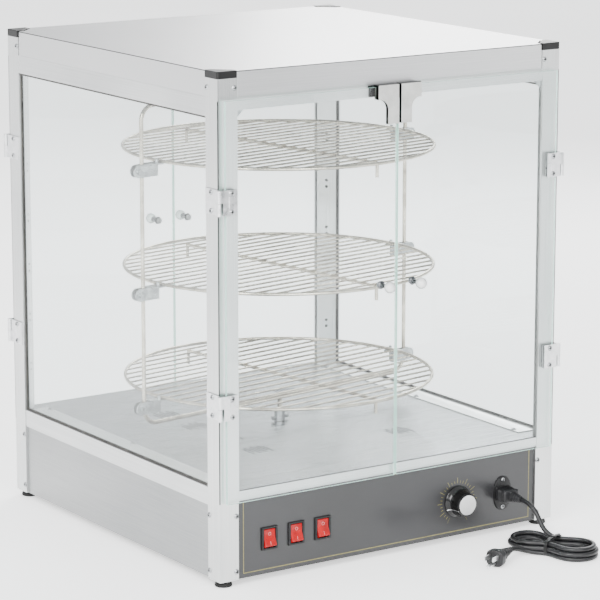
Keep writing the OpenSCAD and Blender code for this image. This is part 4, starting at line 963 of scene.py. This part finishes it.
def hingePlates(node, name, axis, settings, recess):
    # a set of hinge leaves or clamps: their plain screw heads sunk, and cross-head screws put there
    boxes = solidsOf(node)
    other = 1 - axis
    sheet = mergedCopy(node)
    heads = []
    for low, high in boxes:
        sign = math.copysign(1, (low + high)[axis])
        knuckle = max(abs(low[axis]), abs(high[axis]))
        face = knuckle - settings["insideKnuckle"][axis] * mm
        endSign = math.copysign(1, (low + high)[other])
        across = endSign * (postFace - settings["fromPostFace"][axis] * mm)
        for up in (-1, 1):
            spot = np.zeros(3)
            spot[axis], spot[other] = sign * face, across
            spot[2] = (low[2] + high[2]) / 2 + up * settings["fromMiddle"] * mm
            outward = np.zeros(3)
            outward[axis] = sign
            heads.append((spot, outward))
    for vert in sheet.verts:
        for spot, outward in heads:
            off = np.array(vert.co) - spot
            proud = off @ outward
            aside = np.linalg.norm(off - proud * outward)
            if proud > 0.2 * mm and aside < settings["plainHeadRadius"] * mm:
                vert.co -= Vector(outward * (proud - 0.1 * mm))
    bmesh.ops.dissolve_degenerate(sheet, edges=sheet.edges, dist=1e-7)
    bmesh.ops.dissolve_limit(sheet, angle_limit=math.radians(0.6), verts=sheet.verts, edges=sheet.edges)
    mesh = bpy.data.meshes.new(name)
    sheet.to_mesh(mesh)
    sheet.free()
    mesh.materials.clear()
    mesh.materials.append(chrome)
    body = bodyOfNode[node]
    placePiece(name, mesh, body, [node], 0.3, 32)
    shapes = [screwHead(spot, outward, settings["radius"] * mm, settings["high"] * mm, recess)
              for spot, outward in heads]
    return makePiece(name + "Screws", shapes, [screwZinc, recessPaintedShade], body, smoothDegrees=30)


hingePlates("post_hinge_leaves", "postHingeLeaves", 0, hingeScrew, crossRecess)
print("feet, screws and hinges made")


stemSteel = brushedMetal("turnedSteelStem", {  # plain turned steel, darker than the plating beside it
    "along": "x", "lineMm": 0.5, "runMm": 4, "cloudMm": 6, "dark": "#4c4e50", "light": "#7d8083",
    "smooth": 0.2, "rough": 0.34, "depthMm": 0.01})
knobProfile = {
    # distance from the glass and radius, in millimetres
    "stem": [(0, 0), (0, 5.5), (0.5, 5.9), (1.2, 5.6), (2.2, 3.6), (4.0, 3.1), (9.0, 3.0), (13.2, 3.3),
             (14.0, 4.0), (14.4, 0)],
    "inside": [(0, 0), (0, 4.3), (0.4, 4.7), (1.2, 4.3), (1.8, 2.4), (1.8, 0)]}


def doorKnob(door, profile):
    # ball on a turned stem outside the glass, and a screw head inside it
    low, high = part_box(door + "_door_knob")
    glassLow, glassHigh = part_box(door + "_door_glass")
    x, z = (low[0] + high[0]) / 2, (low[2] + high[2]) / 2
    front = door.startswith("front")
    outer, inner = (glassLow[1], glassHigh[1]) if front else (glassHigh[1], glassLow[1])
    outward = np.array([0, -1.0 if front else 1.0, 0])
    stem = turnedShape((x, outer, z), outward, np.array(profile["stem"]) * mm, 32, slot=2)
    reach = abs((low[1] if front else high[1]) - outer) / mm
    t = np.linspace(0, math.pi, 40)
    ballRadius = 8.0
    ball = np.stack([reach - ballRadius - ballRadius * np.cos(t), ballRadius * np.sin(t)], 1)
    ball = ball[ball[:, 0] > reach - 1.93 * ballRadius]
    ball = np.concatenate([[(ball[0, 0], 0)], ball])
    shapes = [stem, turnedShape((x, outer, z), outward, ball * mm, 40),
              turnedShape((x, inner, z), -outward, np.array(profile["inside"]) * mm, 24, slot=1)]
    return makePiece(door.replace("_", "") + "Knob", shapes, [knobWhite, screwZinc, stemSteel],
                     door + "_door", [door + "_door_knob"], smoothDegrees=35)


for door in ("front_left", "front_right", "rear_left", "rear_right"):
    plain = door.replace("_", "")
    finishedCopy(door + "_door_glass", plain + "Glass", doorPane, 0.6)
    hingePlates(door + "_door_clamps", plain + "Clamps", 1, hingeScrew, crossRecess)
    finishedCopy(door + "_latch_plate", plain + "LatchPlate", tumbledSteel, 0.3, proudMm=4.4)
    doorKnob(door, knobProfile)
print("doors made")


dialShape = {"flutes": 20, "fluteDeep": 0.035}
dialProfile = [(0, 0), (0, 22.4), (0.5, 23.0), (1.6, 23.0), (2.4, 22.4), (4.2, 20.0), (6.0, 18.6),
               (7.5, 17.9), (9.0, 17.5), (14.0, 17.2), (20.0, 16.9), (22.4, 16.7), (23.4, 16.2),
               (23.8, 15.4), (23.8, 0)]


def thermostatDial(settings, profile):
    # skirted knob with shallow flutes on its barrel, a spun disc in its face and a pointer line
    low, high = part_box("thermostat_knob")
    x, z = (low[0] + high[0]) / 2, (low[2] + high[2]) / 2
    panelLow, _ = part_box("control_panel")
    back = panelLow[1] - 0.8 * mm

    def flute(along, angle):
        # cosine flutes that fade out at the skirt and at the face
        on = np.clip((along - 9 * mm) / (2 * mm), 0, 1) * np.clip((22.5 * mm - along) / (2 * mm), 0, 1)
        return 1 - settings["fluteDeep"] * on * (np.cos(angle * settings["flutes"]) < -0.2)
    body = turnedShape((x, back, z), (0, -1, 0), np.array(profile) * mm, 160, flute)
    face = np.array([(23.6, 0), (23.6, 14.4), (24.0, 14.2), (24.05, 13.2), (24.05, 0)]) * mm
    disc = turnedShape((x, back, z), (0, -1, 0), face, 64, slot=1)
    # pointer: a thin raised line down the barrel and across the skirt, at the lower left
    lean = math.radians(205)
    outward = np.array([math.cos(lean), 0, math.sin(lean)])
    line = np.array([(23.0, 17.0), (16.0, 17.35), (9.5, 17.8), (7.0, 18.4), (4.2, 20.3), (2.4, 22.6)]) * mm
    path = np.array([x, back, z]) + line[:, 1:] * outward + line[:, :1] * np.array([0, -1.0, 0])
    pointer = sweptShape(path, 0.55 * mm, 8, slot=2)
    return makePiece("thermostatDial", [body, disc, pointer], [phenolicBlack, spunFace, chrome],
                     "thermostat_knob_body", ["thermostat_knob"], smoothDegrees=35)


thermostatDial(dialShape, dialProfile)


def powerInlet():
    # moulded oval flange with a raised rim round the socket, and the socket's block behind the panel
    low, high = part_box("power_inlet")
    panelLow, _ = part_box("control_panel")
    x, z = (low[0] + high[0]) / 2, (low[2] + high[2]) / 2
    wide, tall = (high[0] - low[0]) / 2, (high[2] - low[2]) / 2
    face = panelLow[1]
    out = face - low[1]
    flange = loftedShape((x, face, z), (0, -1, 0), (0, 0, 1),
                         [(0, wide, tall), (out - 0.7 * mm, wide, tall),
                          (out - 0.2 * mm, wide * 0.98, tall * 0.985), (out, wide * 0.94, tall * 0.96)],
                         2.3, 64)
    rim = loftedShape((x, face, z), (0, -1, 0), (0, 0, 1),
                      [(out * 0.5, 13.4 * mm, 10.6 * mm), (out + 0.5 * mm, 13.4 * mm, 10.6 * mm),
                       (out + 1.0 * mm, 13.0 * mm, 10.2 * mm)], 7.0, 48)
    block = loftedShape((x, face + 0.2 * mm, z), (0, 1, 0), (0, 0, 1),
                        [(0, 13 * mm, 9.5 * mm), (high[1] - face - 0.5 * mm, 13 * mm, 9.5 * mm),
                         (high[1] - face - 0.2 * mm, 12.6 * mm, 9.1 * mm)], 9.0, 48)
    return makePiece("powerInlet", [flange, rim, block], [blackAbs], "case", ["power_inlet"],
                     smoothDegrees=35)


powerInlet()


markSize = {"ringMm": 2.1, "barMm": 2.2, "strokeMm": 0.4, "upMm": 6.2, "proudMm": 0.12}


def drapedStroke(tree, points, settings):
    # a thin stroke laid on a surface in front of it: each point is carried along +Y until it lands
    spots = []
    for px, pz in points:
        hit = tree.ray_cast(Vector((px, -1.0, pz)), Vector((0, 1, 0)))[0]
        spots.append((px, hit.y - settings["proudMm"] * mm * 0.3, pz))
    return sweptShape(spots, settings["strokeMm"] * mm / 2, 8)


def rockerMarks(node, name, settings):
    # pad-printed O on the upper half and I on the lower half
    sheet = mergedCopy(node)
    tree = BVHTree.FromBMesh(sheet)
    sheet.free()
    low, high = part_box(node)
    x, z = (low[0] + high[0]) / 2, (low[2] + high[2]) / 2
    turn = np.linspace(0, 2 * math.pi, 33)
    radius, up = settings["ringMm"] * mm, settings["upMm"] * mm
    ring = [(x + radius * math.cos(a), z + up + radius * math.sin(a)) for a in turn]
    bar = [(x, z + (-settings["upMm"] + settings["barMm"] * t) * mm) for t in np.linspace(-1, 1, 9)]
    return makePiece(name + "Marks", [drapedStroke(tree, ring, settings), drapedStroke(tree, bar, settings)],
                     [markWhite], bodyOfNode[node])


for node, name in {"heat_rocker": "heatRocker", "light_rocker": "lightRocker",
                   "turntable_rocker": "turntableRocker"}.items():
    finishedCopy(node, name, rockerRed, 0.7)
    rockerMarks(node, name, markSize)
print("controls made")


roomLight = {"cardSpot": (0.352, -1.48), "cardHalf": 0.27, "cardHigh": 0.62,
             "keyWatts": 145, "backWatts": 85, "fillWatts": 85, "skyStrength": 1.8,
             # sine of the elevation and the sky's colour there: a darker band gives metal an edge
             "bands": [(0.0, "#e9eaec"), (0.12, "#e4e5e7"), (0.26, "#eceded"), (0.36, "#8d9093"),
                       (0.5, "#9b9ea1"), (0.62, "#ffffff"), (1.0, "#f2f5f8")]}


def studioRoom(settings):
    # pale floor, a soft key from the left front, a light behind on the right and a low fill
    floorMaterial, shader = startMaterial("paleFloor", Roughness=0.8, Specular_IOR_Level=0.2,
                                          Emission_Color=linearColour("#ffffff"), Emission_Strength=1.1)
    tone = evenNoise(floorMaterial, 900, 1.0)
    paint = ramp(floorMaterial, tone.outputs["Fac"], "#f4f4f4", "#fafafa")
    driveInput(floorMaterial, shader, "Base Color", paint)
    mesh = bpy.data.meshes.new("floor")
    half = 40.0
    mesh.from_pydata([(-half, -half, 0), (half, -half, 0), (half, half, 0), (-half, half, 0)], [],
                     [(0, 1, 2, 3)])
    mesh.materials.append(floorMaterial)
    floor = bpy.data.objects.new("floor", mesh)
    bpy.context.scene.collection.objects.link(floor)
    world = bpy.context.scene.world or bpy.data.worlds.new("room")
    bpy.context.scene.world = world
    world.use_nodes = True
    world.node_tree.nodes.clear()
    coords = addNode(world, "ShaderNodeTexCoord")
    height = addNode(world, "ShaderNodeSeparateXYZ", {"Vector": coords.outputs["Generated"]})
    bands = addNode(world, "ShaderNodeValToRGB", {"Fac": height.outputs["Z"]})
    stops = bands.color_ramp.elements
    while len(stops) < len(settings["bands"]):
        stops.new(0.5)
    for stop, (sine, _) in zip(stops, settings["bands"]):
        stop.position = sine
    for stop, (_, hexText) in zip(stops, settings["bands"]):
        stop.color = linearColour(hexText)
    sky = addNode(world, "ShaderNodeBackground",
                  {"Color": bands.outputs["Color"], "Strength": settings["skyStrength"]})
    addNode(world, "ShaderNodeOutputWorld", {"Surface": sky.outputs[0]})
    lamps = {"key": ((-2.6, -1.6, 1.9), (0, 0, 0.4), 1.8, settings["keyWatts"]),
             "back": ((1.9, 1.7, 2.0), (0, 0, 0.6), 1.6, settings["backWatts"]),
             "fill": ((-0.9, -3.6, 1.5), (0, 0, 0.35), 1.8, settings["fillWatts"])}
    # a grey card in front on the right, which the front glass and posts mirror
    cardMaterial, shader = startMaterial("greyCard", Roughness=0.9)
    weave = evenNoise(cardMaterial, 3)
    cloth = ramp(cardMaterial, weave.outputs["Fac"], "#6c6e70", "#77797b")
    driveInput(cardMaterial, shader, "Base Color", cloth)
    along = np.array([0.811, 0.547])
    corners = [(*(np.array(settings["cardSpot"]) + side * settings["cardHalf"] * along), up)
               for side, up in ((-1, 0.0), (1, 0.0), (1, settings["cardHigh"]), (-1, settings["cardHigh"]))]
    cardMesh = bpy.data.meshes.new("greyCard")
    cardMesh.from_pydata(corners, [], [(0, 1, 2, 3)])
    cardMesh.materials.append(cardMaterial)
    card = bpy.data.objects.new("greyCard", cardMesh)
    card.visible_camera = card.visible_transmission = False  # it is only mirrored, never seen
    bpy.context.scene.collection.objects.link(card)
    for name, (spot, aim, size, watts) in lamps.items():
        data = bpy.data.lights.new(name + "Light", "AREA")
        data.size, data.energy = size, watts
        lamp = bpy.data.objects.new(name + "Light", data)
        lamp.location = spot
        lamp.rotation_euler = (Vector(aim) - Vector(spot)).to_track_quat("-Z", "Y").to_euler()
        bpy.context.scene.collection.objects.link(lamp)


studioRoom(roomLight)
